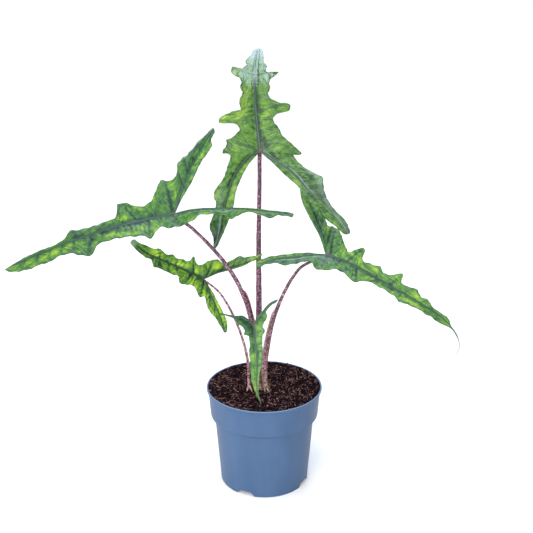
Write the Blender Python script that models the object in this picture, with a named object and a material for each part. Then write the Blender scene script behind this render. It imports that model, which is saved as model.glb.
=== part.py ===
"""Potted arrow-leaved alocasia with jagged leaves, in a round plastic nursery pot.

Frame: origin in the middle of the pot's foot, +Z up, the leaves' best side towards -Y.
Tables are in millimetres and are turned to metres where a mesh is made.
"""
import math

import bmesh
import bpy
import numpy as np
from mathutils import Vector, noise

MM = 0.001
GAP = 0.3                    # clearance between pieces that touch on the real plant, mm

# Pot, mm
RIM_RADIUS = 60.0            # a 12 cm nursery pot, over the lip
POT_HEIGHT = 105.7
LIP_HEIGHT = 2.6
LIP_INSIDE_RADIUS = 58.3
EDGE_ROUND = 0.6             # small bevels on the lip and inside the foot
COLLAR_TOP_RADIUS = 58.3
COLLAR_FOOT_RADIUS = 55.9
COLLAR_FOOT_HEIGHT = 75.0
COLLAR_FOOT_ROUND = 1.2
BODY_TOP_RADIUS = 52.0
FOOT_RADIUS = 46.2
WALL = 1.3
FLOOR_HEIGHT = 6.4           # the floor stands clear of the table, and its middle disc rests on it
FLOOR_DISC_RADIUS = 20.0
FLOOR_DISC_SLOPE = 3.0
DRAIN_HOLES = 8
DRAIN_HOLE_RADIUS = 3.2
DRAIN_HOLE_SIDES = 10
DRAIN_RING_RADIUS = 33.0
NOTCH_ANGLES = (-25.5, 64.0, 154.0, 244.0)   # degrees from the front
NOTCH_HEIGHT = 4.9
NOTCH_TOP_WIDTH = 13.5
NOTCH_FOOT_WIDTH = 21.3
POT_SEGMENTS = 56

# Soil and the stem base in it, mm
SOIL_TOP = 104.3
SOIL_LUMP = 1.2
SOIL_MOUND = 0.8
SOIL_RINGS = 13
SOIL_SEGMENTS = 42
CORM_CENTRE = (-2.5, -3.0)
CORM_RADIUS = 10.6
CORM_TOP = 103.3
CORM_BOTTOM = 72.0
CORM_SIDES = 28

# Leaf blades
BLADE_THICKNESS = 0.7
BLADE_ROWS = 2               # rows of faces between a vein and the edge
NEAREST_COLUMNS = 0.008      # columns of faces, as fractions of a vein: nearer ones are merged
WIDEST_COLUMNS = 0.06        # and wider gaps are halved

# Each leaf: its three main veins from where the stalk joins, the way the upper face looks on each half by
# the join and at the end of each vein, how much a half rises from the vein and bends back to its edge,
# and the edge.
# An edge row is (place along the vein, out from the vein, ahead of that place): 1 is the leaf's tip, 0 the
# join and -1 the end of a rear lobe. The first is a fraction of the vein's length, the others are in mm.
LEAVES = {
    "tall": {
        "midrib": [(-4, 8, 350), (-6, 16, 371), (-8, 26, 389), (-9, 44, 405), (-9, 64, 416), (-8, 92, 427),
                   (-6, 116, 438)],
        "left_vein": [(-4, 8, 350), (-15, 4, 346), (-27, -5, 332), (-33, -12, 319), (-37, -19, 304),
                      (-41, -27, 285), (-47, -35, 265)],
        "right_vein": [(-4, 8, 350), (5, 4, 346), (22, -4, 337), (40, -14, 320), (60, -24, 303),
                       (80, -34, 280)],
        "facing": {"left": (0.15, -0.91, 0.37), "right": (-0.15, -0.91, 0.37), "midrib": (0, -0.35, 0.94),
                   "left_vein": (0, -0.92, 0.35), "right_vein": (0, -0.92, 0.38)},
        "rise": 0.14, "bend_back": 0.005,
        "left_edge": [(0.97, 2.5, 2.5), (0.88, 7.5, -0.5), (0.8, 11, -1.5), (0.76, 9, -1), (0.72, 13, -4.5),
                      (0.68, 15.5, -5.5), (0.64, 23.5, 9.5), (0.62, 24.5, 3.5), (0.59, 18, -1.5),
                      (0.55, 13.5, -3), (0.5, 14.5, -5.5), (0.46, 12, -6.5), (0.42, 15, -8.5),
                      (0.38, 16, -10), (0.34, 15, -9.5), (0.28, 26.5, -2.5), (0.22, 36, 2.5),
                      (0.19, 35.5, 3), (0.16, 23, 5.5), (0.13, 17.5, 4.5), (0.09, 25, 2.5), (0.04, 32, 7),
                      (0.02, 31.5, 5.5), (0, 36, 3), (-0.05, 6, 24), (-0.15, 9, 16.5), (-0.3, 7.5, 13.5),
                      (-0.4, 12, 13.5), (-0.52, 8.5, 11.5), (-0.62, 9.5, 12), (-0.7, 11, 11.5),
                      (-0.82, 4.5, 9), (-0.93, 1.5, 5)],
        "right_edge": [(0.97, 3, 3), (0.88, 6.5, 0.5), (0.8, 8, -0.5), (0.76, 11, -2.5), (0.7, 11, -7),
                       (0.66, 16.5, -5), (0.62, 23.5, 3), (0.58, 17, -2), (0.55, 14, -5), (0.5, 15, -7),
                       (0.46, 13, -8), (0.4, 15.5, -7), (0.33, 24.5, -2.5), (0.28, 33.5, 1.5),
                       (0.25, 32, -0.5), (0.2, 21, 5.5), (0.16, 15.5, 6), (0.12, 20.5, 3),
                       (0.07, 23.5, 2.5), (0.03, 32, -0.5), (0, 39, -4.5), (-0.06, 13, 23), (-0.15, 8, 24),
                       (-0.27, 13, 23.5), (-0.36, 18, 19.5), (-0.44, 13, 16), (-0.55, 5, 17),
                       (-0.68, 3, 14.5), (-0.8, 5, 10.5), (-0.92, 2.5, 9)],
        "left_inner": [(-0.15, 5, -0.5), (-0.28, 6.5, 0), (-0.42, 7, 4), (-0.55, 8, 5.5), (-0.7, 5.5, 5.5),
                       (-0.85, 3.5, 1.5), (-0.95, 1.5, 2.5)],
        "right_inner": [(-0.15, 3.5, -1), (-0.28, 6.5, 1), (-0.42, 5, 5.5), (-0.5, 7.5, -0.5),
                        (-0.6, 8, 0.5), (-0.7, 6, -2), (-0.78, 8.5, -0.5), (-0.88, 5.5, 1), (-0.96, 3, 3)],
    },
    "left": {
        "midrib": [(-84, -30, 299), (-107, -40, 296), (-143, -60, 292), (-174, -78, 285), (-201, -94, 278),
                   (-225, -106, 269)],
        "left_vein": [(-84, -30, 299), (-68, -33, 303), (-45, -36, 305), (-14, -39, 305), (7, -40, 303),
                      (28, -41, 301)],
        "right_vein": [(-84, -30, 299), (-81, -18, 310), (-75, 2, 328), (-69, 16, 339), (-61, 28, 351),
                       (-50, 42, 367)],
        "facing": {"left": (-0.1, -0.55, 0.83), "right": (0.1, -0.68, 0.72), "midrib": (-0.2, -0.5, 0.84),
                   "left_vein": (0, -0.3, 0.95), "right_vein": (0, -0.8, 0.6)},
        "rise": 0.12, "bend_back": 0.004,
        "left_edge": [(0.97, 5, 3), (0.86, 13, 9), (0.72, 15, 10), (0.62, 14.5, 8), (0.58, 18.5, 9),
                      (0.53, 25, 9), (0.49, 23.5, 9), (0.46, 17.5, 9.5), (0.38, 16, 9), (0.28, 17.5, 5.5),
                      (0.22, 20, 4), (0.18, 25.5, 4.5), (0.14, 21.5, 5.5), (0.1, 14, 3.5),
                      (0.03, 17.5, 3.5), (0, 17.5, -3.5), (-0.05, 14.5, 14.5), (-0.12, 9.5, 12),
                      (-0.22, 8, 13), (-0.32, 10.5, 14.5), (-0.38, 15, 14.5), (-0.44, 8, 13),
                      (-0.54, 5, 14), (-0.66, 10.5, 15), (-0.76, 4.5, 13.5), (-0.92, 5, 7)],
        "right_edge": [(0.97, 1, 0), (0.86, 3, -5), (0.74, 3, -3), (0.66, 6.5, -4), (0.63, 11, -4.5),
                       (0.6, 12, -2.5), (0.56, 9.5, -0.5), (0.5, 8.5, 0), (0.44, 8, 0.5), (0.38, 9.5, -0.5),
                       (0.34, 12.5, -4), (0.33, 19.5, -4.5), (0.29, 25.5, -3.5), (0.26, 24.5, -1.5),
                       (0.22, 21, 0.5), (0.18, 17.5, 2), (0.15, 15.5, 2), (0.12, 17, -1.5),
                       (0.09, 22.5, -1), (0.06, 32, -2.5), (0.04, 39.5, -4), (0, 37.5, -6),
                       (-0.04, 10, 32), (-0.08, 8.5, 32), (-0.15, 10, 32.5), (-0.22, 11, 32),
                       (-0.38, 6, 28.5), (-0.6, 5.5, 20), (-0.82, 3, 10), (-0.95, 1, 4.5)],
        "left_inner": [(-0.15, 1, -0.5), (-0.35, 1.5, -1), (-0.6, 2, 3), (-0.8, 2, 3.5), (-0.95, 1, 4)],
        "right_inner": [(-0.18, 3, -1), (-0.35, 7, -0.5), (-0.52, 7.5, 4.5), (-0.68, 8, 6), (-0.76, 8, 7),
                        (-0.82, 4.5, 5), (-0.95, 2.5, 2.5)],
    },
    "right": {
        "midrib": [(59, -25, 257), (77, -34, 253), (97, -44, 245), (117, -56, 236), (138, -68, 227),
                   (157, -80, 218), (171, -88, 207), (177, -92, 197), (178, -94, 189), (173, -94, 181)],
        "left_vein": [(59, -25, 257), (59, -17, 264), (54, 0, 276), (47, 14, 290), (41, 26, 303),
                      (36, 36, 314)],
        "right_vein": [(59, -25, 257), (44, -28, 257), (28, -32, 256), (13, -35, 255), (-7, -39, 251)],
        "facing": {"left": (-0.05, -0.62, 0.78), "right": (0.07, -0.42, 0.9), "midrib": (0.42, -0.55, 0.72),
                   "left_vein": (0.05, -0.75, 0.65), "right_vein": (0, -0.35, 0.93)},
        "rise": 0.12, "bend_back": 0.005,
        "left_edge": [(0.95, 0.5, 0), (0.87, 0.7, 0), (0.8, 1.5, -1), (0.73, 4, 1.5), (0.66, 3, 1.5),
                      (0.64, 7.5, 0.5), (0.58, 7, 0), (0.55, 10.5, -1.5), (0.5, 9, -5),
                      (0.46, 14.5, -3), (0.44, 18, -0.5), (0.41, 17.5, -0.5), (0.37, 10.5, 1),
                      (0.34, 10, -1.5), (0.31, 13.5, -2), (0.28, 11.5, -3), (0.24, 9, -4),
                      (0.21, 12.5, -3), (0.18, 19.5, 1), (0.15, 22.5, 2), (0.12, 15.5, 3),
                      (0.08, 11.5, 4), (0.06, 19, 1), (0.03, 31.5, -4.5), (0, 34, -6.5),
                      (-0.06, 3, 26.5), (-0.2, 9, 26), (-0.4, 10.5, 21.5), (-0.6, 9, 17), (-0.85, 4, 10)],
        "right_edge": [(0.95, 0.5, 0), (0.87, 0.7, 0), (0.8, 3, -1), (0.71, 8.5, -1.5),
                       (0.63, 9.5, -2.5), (0.58, 12, -5.5), (0.53, 11.5, -3.5), (0.48, 7.5, -5),
                       (0.41, 8, -5), (0.35, 9.5, -5), (0.3, 13.5, -4.5), (0.27, 18, -1.5),
                       (0.22, 19, -1), (0.17, 14.5, -4), (0.08, 19.5, -1), (0.02, 23, 1.5),
                       (0, 23, 1.5), (-0.08, 10.5, 11), (-0.25, 9, 9), (-0.42, 9.5, 13.5),
                       (-0.58, 5.5, 12.5), (-0.75, 4.5, 12), (-0.92, 4, 6.5)],
        "left_inner": [(-0.2, 3, 6), (-0.4, 5, 10.5), (-0.6, 5.5, 12), (-0.85, 2.5, 6)],
        "right_inner": [(-0.2, 3, 1.5), (-0.4, 5, 3), (-0.6, 5, 5.5), (-0.8, 6, 4.5), (-0.95, 4, 2)],
    },
    "low": {
        "midrib": [(-59, -12, 227), (-71, -17, 235), (-86, -22, 244), (-101, -27, 253), (-114, -31, 261),
                   (-125, -35, 274)],
        "left_vein": [(-59, -12, 227), (-56, -16, 220), (-50, -22, 207), (-45, -26, 197), (-38, -31, 178)],
        "right_vein": [(-59, -12, 227), (-53, -9, 230), (-41, -3, 233), (-23, 1, 238), (-11, 2, 242),
                       (-2, 2, 248)],
        "facing": {"left": (0.35, -0.7, 0.62), "right": (0.25, -0.9, 0.35), "midrib": (0.1, -0.75, 0.65),
                   "left_vein": (0.25, -0.88, 0.4), "right_vein": (0.15, -0.9, 0.4)},
        "rise": 0.12, "bend_back": 0.006,
        "left_edge": [(0.97, 2.5, 2), (0.84, 3.5, 1.5), (0.7, 5.5, -1.5), (0.66, 8, -0.5), (0.56, 9, -2),
                      (0.46, 9.5, -3.5), (0.38, 9.5, -4.5), (0.34, 13.5, -3), (0.29, 15, -3.5),
                      (0.22, 12, -4), (0.14, 12, -1.5), (0.06, 15.5, 0), (0, 20, 0), (-0.05, 7, 14),
                      (-0.15, 7, 14.5), (-0.28, 8, 14), (-0.45, 5, 13), (-0.65, 3, 11), (-0.93, 1, 3.5)],
        "right_edge": [(0.97, 1, 3), (0.82, 6, 2.5), (0.68, 8, 0.5), (0.62, 8.5, 1), (0.55, 6.5, -1),
                       (0.5, 9.5, -1), (0.42, 7.5, -1), (0.36, 9, -0.5), (0.28, 9, 0.5), (0.22, 12, 2.5),
                       (0.17, 16, 5.5), (0.12, 12, 5), (0.05, 11.5, 5), (0, 19, 2.5), (-0.03, 9.5, 18.5),
                       (-0.1, 6, 17), (-0.28, 6.5, 13), (-0.45, 8.5, 12), (-0.62, 5, 9), (-0.8, 3.5, 6),
                       (-0.95, 1, 3.5)],
        "left_inner": [(-0.2, 2.5, -1.5), (-0.4, 4, -0.5), (-0.6, 4.5, 1.5), (-0.78, 5, 2.5), (-0.93, 2, 3)],
        "right_inner": [(-0.2, 1, 1.5), (-0.45, 2, 1), (-0.65, 2, 2.5), (-0.78, 0.5, 0.5), (-0.93, 1.5, 1)],
    },
    "front": {
        "midrib": [(-10, -32, 188), (-9, -36, 181), (-8, -41, 169), (-7, -45, 155), (-7, -47, 141),
                   (-7, -47, 124), (-3, -45, 108)],
        "left_vein": [(-10, -32, 188), (-6, -33, 193), (-2, -34, 199), (2, -35, 205), (7, -35, 210),
                      (14, -36, 215)],
        "right_vein": [(-10, -32, 188), (-16, -34, 192), (-22, -35, 195), (-31, -36, 197), (-37, -37, 199),
                       (-43, -38, 201)],
        "facing": {"left": (-0.28, -0.85, 0.44), "right": (0.28, -0.85, 0.44), "midrib": (0.05, -0.98, 0.18),
                   "left_vein": (-0.15, -0.85, 0.5), "right_vein": (0.15, -0.85, 0.5)},
        "rise": 0.12, "bend_back": 0.008,
        "left_edge": [(0.97, 0, -2), (0.86, 1, -1), (0.75, 2, -2), (0.62, 3, -3), (0.5, 5, -4.5),
                      (0.4, 6, -5.5), (0.3, 7, -5), (0.2, 7.5, -4.5), (0.13, 10.5, -2.5), (0.08, 9.5, -0.5),
                      (0.04, 8.5, 1.5), (0, 10.5, 1), (-0.12, 5.5, 11), (-0.25, 3, 8.5), (-0.45, 2, 7),
                      (-0.7, 1, 3), (-0.95, 1, -0.5)],
        "right_edge": [(0.97, 1, -2.5), (0.85, 2, -1.5), (0.72, 4.5, -1), (0.6, 6.5, -2), (0.5, 7, -3.5),
                       (0.4, 7.5, -3.5), (0.3, 6.5, -1.5), (0.2, 6.5, -1), (0.14, 7, 0), (0.09, 11, 2.5),
                       (0.04, 10.5, 3.5), (0, 12, 3), (-0.12, 7.5, 11), (-0.28, 4.5, 9), (-0.5, 1, 7),
                       (-0.75, 0.5, 4.5), (-0.95, 1, 1)],
        "left_inner": [(-0.2, 2.5, 1), (-0.38, 1.5, 1.5), (-0.58, 1.5, 1), (-0.8, 1.5, 0.5),
                       (-0.95, 0.5, 0.5)],
        "right_inner": [(-0.18, 1.5, 0.5), (-0.38, 2.5, 1), (-0.5, 1.5, 1.5), (-0.75, 1, 2), (-0.95, 0.5, 1)],
    },
}

# Each stalk: points from the soil up to just short of its leaf, its radius at the foot and the top, and
# its sheath wing as (where it starts, where it ends, how far it stands out in mm, the side it is on).
STALKS = {
    "tall": {"path": [(-4, 3.5, 104), (-5.5, 4, 135), (-5.5, 6, 165), (-5.5, 7.5, 195), (-5.5, 9, 246),
                      (-5, 9.5, 290), (-4.5, 10, 319), (-4.5, 11.5, 338)],
             "foot": 3.3, "top": 1.9, "wing": None},
    "left": {"path": [(-8.5, -2.5, 104), (-9.5, -2.5, 129), (-11, -4.5, 153), (-13, -7, 179),
                      (-16, -9.5, 195), (-19.5, -12, 207), (-27, -17, 227), (-38.5, -22, 248),
                      (-50, -26, 264), (-61, -29, 277), (-71, -30, 287)],
             "foot": 3.0, "top": 1.6, "wing": (0.24, 0.56, 2.6, (0.95, -0.3, 0.1))},
    "right": {"path": [(1, -4, 104), (0.5, -4.5, 127), (2, -5.5, 142), (5, -7.5, 162), (10.4, -11, 188),
                       (20, -15.5, 215), (31.4, -20, 237), (41.5, -23, 247)],
              "foot": 2.8, "top": 1.4, "wing": (0.04, 0.50, 1.8, (-0.95, -0.3, 0.1))},
    "low": {"path": [(-15.5, -7, 96), (-16, -7, 120), (-16.5, -7.5, 134), (-20.5, -8.5, 156),
                     (-27.5, -10, 179), (-35.5, -11.5, 198), (-46, -12, 215)],
            "foot": 1.6, "top": 1.1, "wing": None},
    "front": {"path": [(-3.5, -10.5, 104), (-6, -12, 119), (-8.5, -16, 140), (-10, -22, 160),
                       (-10, -27, 171)],
              "foot": 2.2, "top": 1.3, "wing": None},
}
STALK_SIDES = 9
STALK_RINGS = 22
STALK_TAPER_END = 0.87       # the stalk has its top radius from here up
UNDER_MIDRIB = (2.0, 9.0)    # how far past the join the stalk runs under the midrib

COLOURS = {
    "pot": ((0.12, 0.20, 0.34), 0.42),
    "soil": ((0.02, 0.014, 0.010), 0.95),
    "corm": ((0.16, 0.09, 0.055), 0.85),
    "stalk": ((0.20, 0.07, 0.09), 0.45),
    "blade": ((0.07, 0.22, 0.03), 0.38),
}


def unit(v):
    """Vectors scaled to length one."""
    v = np.asarray(v, float)
    return v / np.maximum(np.linalg.norm(v, axis=-1, keepdims=True), 1e-12)


def smooth_curve(points, count):
    """A curve through the points: each stretch is the cubic that its four nearest points set."""
    p = np.asarray(points, float)
    ends = np.vstack([2 * p[0] - p[1], p, 2 * p[-1] - p[-2]])
    place = np.linspace(0, len(p) - 1, count)
    i = np.minimum(place.astype(int), len(p) - 2)
    f = (place - i)[:, None]
    a, b, c, d = ends[i], ends[i + 1], ends[i + 2], ends[i + 3]
    return 0.5 * (2 * b + (c - a) * f + (2 * a - 5 * b + 4 * c - d) * f**2 + (3 * b - a - 3 * c + d) * f**3)


def evenly(curve, count):
    """The curve read again at places that are equally far apart along it."""
    run = np.r_[0, np.cumsum(np.linalg.norm(np.diff(curve, axis=0), axis=1))]
    at = np.linspace(0, run[-1], count)
    return np.stack([np.interp(at, run, curve[:, k]) for k in range(3)], axis=1)


class Vein:
    """A main vein: its points, the way it runs, the way the upper face looks, and the blade's right side."""

    def __init__(self, points, facing_start, facing_end, steps=80):
        self.steps = steps
        self.point = evenly(smooth_curve(points, 400), steps + 1)
        self.run = unit(np.gradient(self.point, axis=0))
        f = np.linspace(0, 1, steps + 1)[:, None]
        face = unit(facing_start) * (1 - f) + unit(facing_end) * f
        self.face = unit(face - (face * self.run).sum(axis=1, keepdims=True) * self.run)
        self.side = np.cross(self.run, self.face)

    def read(self, rows, s):
        """One of the arrays above at fractions s of the vein's length."""
        place = np.clip(s, 0, 1) * self.steps
        i = np.minimum(np.asarray(place).astype(int), self.steps - 1)
        f = (place - i)[..., None]
        return rows[i] * (1 - f) + rows[i + 1] * f


def hermite(knots, values, s):
    """The smooth curve of values over rising knots, with each slope taken from the two neighbours."""
    slope = np.gradient(values, knots, axis=0)
    i = np.clip(np.searchsorted(knots, s, side="right") - 1, 0, len(knots) - 2)
    width = (knots[i + 1] - knots[i])[:, None]
    f = ((s - knots[i])[:, None]) / width
    start, rise = values[i], values[i + 1]
    return ((1 + 2 * f) * (1 - f) ** 2 * start + f * (1 - f) ** 2 * width * slope[i]
            + f * f * (3 - 2 * f) * rise + f * f * (f - 1) * width * slope[i + 1])


def half_veins(leaf, side):
    """The midrib and the rear lobe's vein as one half of the leaf sees them."""
    facing, rear = leaf["facing"], side + "_vein"
    return Vein(leaf["midrib"], facing[side], facing["midrib"]), Vein(leaf[rear], facing[side], facing[rear])


def edge_points(leaf, side, inner, s):
    """The blade's edge on one side at places s, from +1 at the tip to -1 at the end of the rear lobe."""
    middle, rear = half_veins(leaf, side)
    hand = 1 if side == "right" else -1
    knots, places = [-1.0], [rear.point[-1]]
    for along, out, ahead in reversed(leaf[side + ("_inner" if inner else "_edge")]):
        vein = rear if along < 0 else middle
        turn = hand if along >= 0 else -hand
        turn = -turn if inner else turn
        t = np.array(abs(along))
        foot = vein.read(vein.point, t)
        place = foot + turn * out * vein.read(vein.side, t) + ahead * vein.read(vein.run, t)
        knots.append(along)
        places.append(place)
    knots.append(0.0 if inner else 1.0)
    places.append(middle.point[0] if inner else middle.point[-1])
    return hermite(np.array(knots), np.array(places), s)


def spaced(places):
    """The places in falling order, those nearly alike merged, and wide gaps halved."""
    merged = []
    for place in sorted(set(places), reverse=True):
        if not merged or merged[-1] - place > NEAREST_COLUMNS or place in (0, -1):
            merged.append(place)
    filled = [merged[0]]
    for place in merged[1:]:
        if filled[-1] - place > WIDEST_COLUMNS:
            filled.append((filled[-1] + place) / 2)
        filled.append(place)
    return np.array(filled)


def blade_sheet(leaf):
    """The blade's middle surface as points and triangles, in mm, facing its upper side."""
    tip_places = spaced([1, 0] + [row[0] for side in ("left", "right")
                                  for row in leaf[side + "_edge"] if row[0] >= 0])
    points, triangles = [], []

    def add(rows):
        points.extend(rows)
        return list(range(len(points) - len(rows), len(points)))

    def half(vein, places, edge, spine):
        """Columns of point numbers from the vein to the edge. The lift rises from the vein and bends back."""
        t = np.abs(places)
        foot, face = vein.read(vein.point, t), vein.read(vein.face, t)
        columns = []
        for k in range(len(places)):
            reach = edge[k] - foot[k]
            width = np.linalg.norm(reach)
            if width < 1e-6:
                columns.append([spine[k]] * (BLADE_ROWS + 1))
                continue
            column = [spine[k]]
            for row in range(1, BLADE_ROWS + 1):
                v = row / BLADE_ROWS
                d = width * v
                lift = leaf["rise"] * d - leaf["bend_back"] * d * d
                column += add([foot[k] + reach * v + face[k] * lift])
            columns.append(column)
        return columns

    def stitch(columns, flip):
        for first, second in zip(columns, columns[1:]):
            for row in range(BLADE_ROWS):
                a, b, c, d = first[row], first[row + 1], second[row + 1], second[row]
                for triangle in ((a, b, c), (a, c, d)):
                    if len(set(triangle)) == 3:
                        triangles.append(triangle[::-1] if flip else triangle)

    spine = None
    for side in ("left", "right"):
        middle, rear = half_veins(leaf, side)
        if spine is None:
            spine = add(list(middle.read(middle.point, tip_places)))
        rear_places = spaced([0, -1] + [row[0] for edge in (side + "_edge", side + "_inner")
                                        for row in leaf[edge] if row[0] < 0])
        rear_spine = [spine[-1]] + add(list(rear.read(rear.point, -rear_places[1:])))
        front = half(middle, tip_places, edge_points(leaf, side, False, tip_places), spine)
        back = half(rear, rear_places[1:], edge_points(leaf, side, False, rear_places[1:]), rear_spine[1:])
        within = half(rear, rear_places, edge_points(leaf, side, True, rear_places), rear_spine)
        stitch(front + back, side == "left")
        stitch(within, side == "right")
    return np.array(points), np.array(triangles)


def closed_sheet(points, triangles, thickness):
    """A sheet with its two faces set apart along the points' normals and joined round its edge."""
    corner = points[triangles]
    normal = np.cross(corner[:, 1] - corner[:, 0], corner[:, 2] - corner[:, 0])
    at_point = np.zeros_like(points)
    for k in range(3):
        np.add.at(at_point, triangles[:, k], normal)
    at_point = unit(at_point)
    count = len(points)
    both = np.vstack([points + at_point * thickness / 2, points - at_point * thickness / 2])
    edges = {}
    for a, b, c in triangles:
        for start, end in ((a, b), (b, c), (c, a)):
            if (end, start) in edges:
                del edges[(end, start)]
            else:
                edges[(start, end)] = True
    walls = []
    for start, end in edges:
        walls.append((end, start, start + count))
        walls.append((end, start + count, end + count))
    return both, np.vstack([triangles, triangles[:, ::-1] + count, np.array(walls)])


def material(name, colour, roughness):
    """A plain Principled finish."""
    finish = bpy.data.materials.new(name)
    finish.use_nodes = True
    shader = finish.node_tree.nodes["Principled BSDF"]
    shader.inputs["Base Color"].default_value = (*colour, 1.0)
    shader.inputs["Roughness"].default_value = roughness
    shader.inputs["Metallic"].default_value = 0.0
    return finish


def piece(name, points, faces, kind):
    """An object whose mesh is given in mm, with a material of its own."""
    mesh = bpy.data.meshes.new(name)
    corners = [tuple(int(i) for i in face) for face in faces]
    mesh.from_pydata([tuple(p) for p in np.asarray(points) * MM], [], corners)
    mesh.validate()
    obj = bpy.data.objects.new(name, mesh)
    bpy.context.scene.collection.objects.link(obj)
    colour, roughness = COLOURS[kind]
    mesh.materials.append(material(name, colour, roughness))
    return obj


def turned(name, profile, segments, kind):
    """A closed profile of (radius, height) in mm spun about Z. Points at radius 0 close the ends."""
    bm = bmesh.new()
    ring = [bm.verts.new((r * MM, 0.0, z * MM)) for r, z in profile]
    edges = [bm.edges.new(pair) for pair in zip(ring, ring[1:])]
    if profile[0][0] > 0:
        edges.append(bm.edges.new((ring[-1], ring[0])))
    bmesh.ops.spin(bm, geom=ring + edges, cent=(0, 0, 0), axis=(0, 0, 1), angle=2 * math.pi,
                   steps=segments, use_merge=True, use_duplicate=False)
    bmesh.ops.remove_doubles(bm, verts=bm.verts[:], dist=1e-6)
    bmesh.ops.recalc_face_normals(bm, faces=bm.faces[:])
    mesh = bpy.data.meshes.new(name)
    bm.to_mesh(mesh)
    bm.free()
    obj = bpy.data.objects.new(name, mesh)
    bpy.context.scene.collection.objects.link(obj)
    colour, roughness = COLOURS[kind]
    mesh.materials.append(material(name, colour, roughness))
    return obj


def cutter(name, mesh):
    """A guide solid that only cuts."""
    obj = bpy.data.objects.new(name, mesh)
    bpy.context.scene.collection.objects.link(obj)
    obj.hide_render = True
    obj.display_type = "WIRE"
    return obj


def cut(obj, tool):
    """Take the tool's shape out of the object."""
    step = obj.modifiers.new("cut_" + tool.name, "BOOLEAN")
    step.operation = "DIFFERENCE"
    step.solver = "EXACT"
    step.object = tool


def rod_mesh(name, radius, bottom, top, centre, sides):
    """A round rod between two heights."""
    bm = bmesh.new()
    bmesh.ops.create_cone(bm, cap_ends=True, segments=sides, radius1=radius * MM, radius2=radius * MM,
                          depth=(top - bottom) * MM)
    middle = Vector((centre[0], centre[1], (top + bottom) / 2)) * MM
    bmesh.ops.translate(bm, verts=bm.verts[:], vec=middle)
    mesh = bpy.data.meshes.new(name)
    bm.to_mesh(mesh)
    bm.free()
    return mesh


def notch_mesh(name, angle):
    """A wedge with sloped ends that lifts the pot's foot off the table over a short arc."""
    half_foot, half_top = NOTCH_FOOT_WIDTH / 2, NOTCH_TOP_WIDTH / 2
    near, far = FOOT_RADIUS - 4.0, FOOT_RADIUS + 4.0
    section = [(-half_foot, -1.0), (half_foot, -1.0), (half_top, NOTCH_HEIGHT), (-half_top, NOTCH_HEIGHT)]
    corners = [(x, -r, z) for r in (near, far) for x, z in section]
    faces = [(3, 2, 1, 0), (4, 5, 6, 7), (0, 1, 5, 4), (1, 2, 6, 5), (2, 3, 7, 6), (3, 0, 4, 7)]
    turn = math.radians(angle)
    points = [((x * math.cos(turn) - y * math.sin(turn)) * MM, (x * math.sin(turn) + y * math.cos(turn)) * MM,
               z * MM) for x, y, z in corners]
    mesh = bpy.data.meshes.new(name)
    mesh.from_pydata(points, [], faces)
    return mesh


def pot_inside(clearance):
    """The inside of the pot below its lip, as (radius, height), or a shape that stands clear of it."""
    return [
        (COLLAR_FOOT_RADIUS + 0.3 - WALL - clearance, COLLAR_FOOT_HEIGHT + 2 * WALL),
        (BODY_TOP_RADIUS - WALL - clearance, COLLAR_FOOT_HEIGHT + WALL / 2),
        (FOOT_RADIUS + 0.4 - WALL - clearance, FLOOR_HEIGHT + clearance),
        (FLOOR_DISC_RADIUS + FLOOR_DISC_SLOPE - WALL - clearance, FLOOR_HEIGHT + clearance),
        (FLOOR_DISC_RADIUS - WALL - clearance, WALL + clearance),
    ]


def make_pot():
    """The pot's wall, collar and lip, its floor with drain holes, and the notches in its foot."""
    lip_foot = POT_HEIGHT - LIP_HEIGHT
    outside = [
        (FLOOR_DISC_RADIUS, 0.0),
        (FLOOR_DISC_RADIUS + FLOOR_DISC_SLOPE, FLOOR_HEIGHT - WALL),
        (FOOT_RADIUS - WALL - EDGE_ROUND, FLOOR_HEIGHT - WALL),
        (FOOT_RADIUS - WALL, 0.0),
        (FOOT_RADIUS, 0.0),
        (BODY_TOP_RADIUS, COLLAR_FOOT_HEIGHT - 0.2),
        (COLLAR_FOOT_RADIUS, COLLAR_FOOT_HEIGHT),
        (COLLAR_FOOT_RADIUS + 0.3, COLLAR_FOOT_HEIGHT + COLLAR_FOOT_ROUND),
        (COLLAR_TOP_RADIUS, lip_foot - 1.0),
        (RIM_RADIUS - EDGE_ROUND, lip_foot),
        (RIM_RADIUS, lip_foot + EDGE_ROUND),
        (RIM_RADIUS, POT_HEIGHT - EDGE_ROUND),
        (RIM_RADIUS - EDGE_ROUND, POT_HEIGHT),
    ]
    lip_inside = [
        (LIP_INSIDE_RADIUS + 0.2, POT_HEIGHT),
        (LIP_INSIDE_RADIUS, lip_foot + 0.9),
        (COLLAR_TOP_RADIUS - WALL, lip_foot - 0.6),
    ]
    profile = [(0.0, 0.0)] + outside + lip_inside + pot_inside(0.0) + [(0.0, WALL)]
    pot = turned("pot", profile, POT_SEGMENTS, "pot")
    for number, angle in enumerate(NOTCH_ANGLES):
        cut(pot, cutter(f"notch_{number}", notch_mesh(f"notch_{number}", angle)))
    for number in range(DRAIN_HOLES):
        angle = 2 * math.pi * (number + 0.5) / DRAIN_HOLES
        centre = (DRAIN_RING_RADIUS * math.cos(angle), DRAIN_RING_RADIUS * math.sin(angle))
        mesh = rod_mesh(f"drain_{number}", DRAIN_HOLE_RADIUS, FLOOR_HEIGHT - 2 * WALL, FLOOR_HEIGHT + WALL,
                        centre, DRAIN_HOLE_SIDES)
        cut(pot, cutter(f"drain_{number}", mesh))
    return pot


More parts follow.
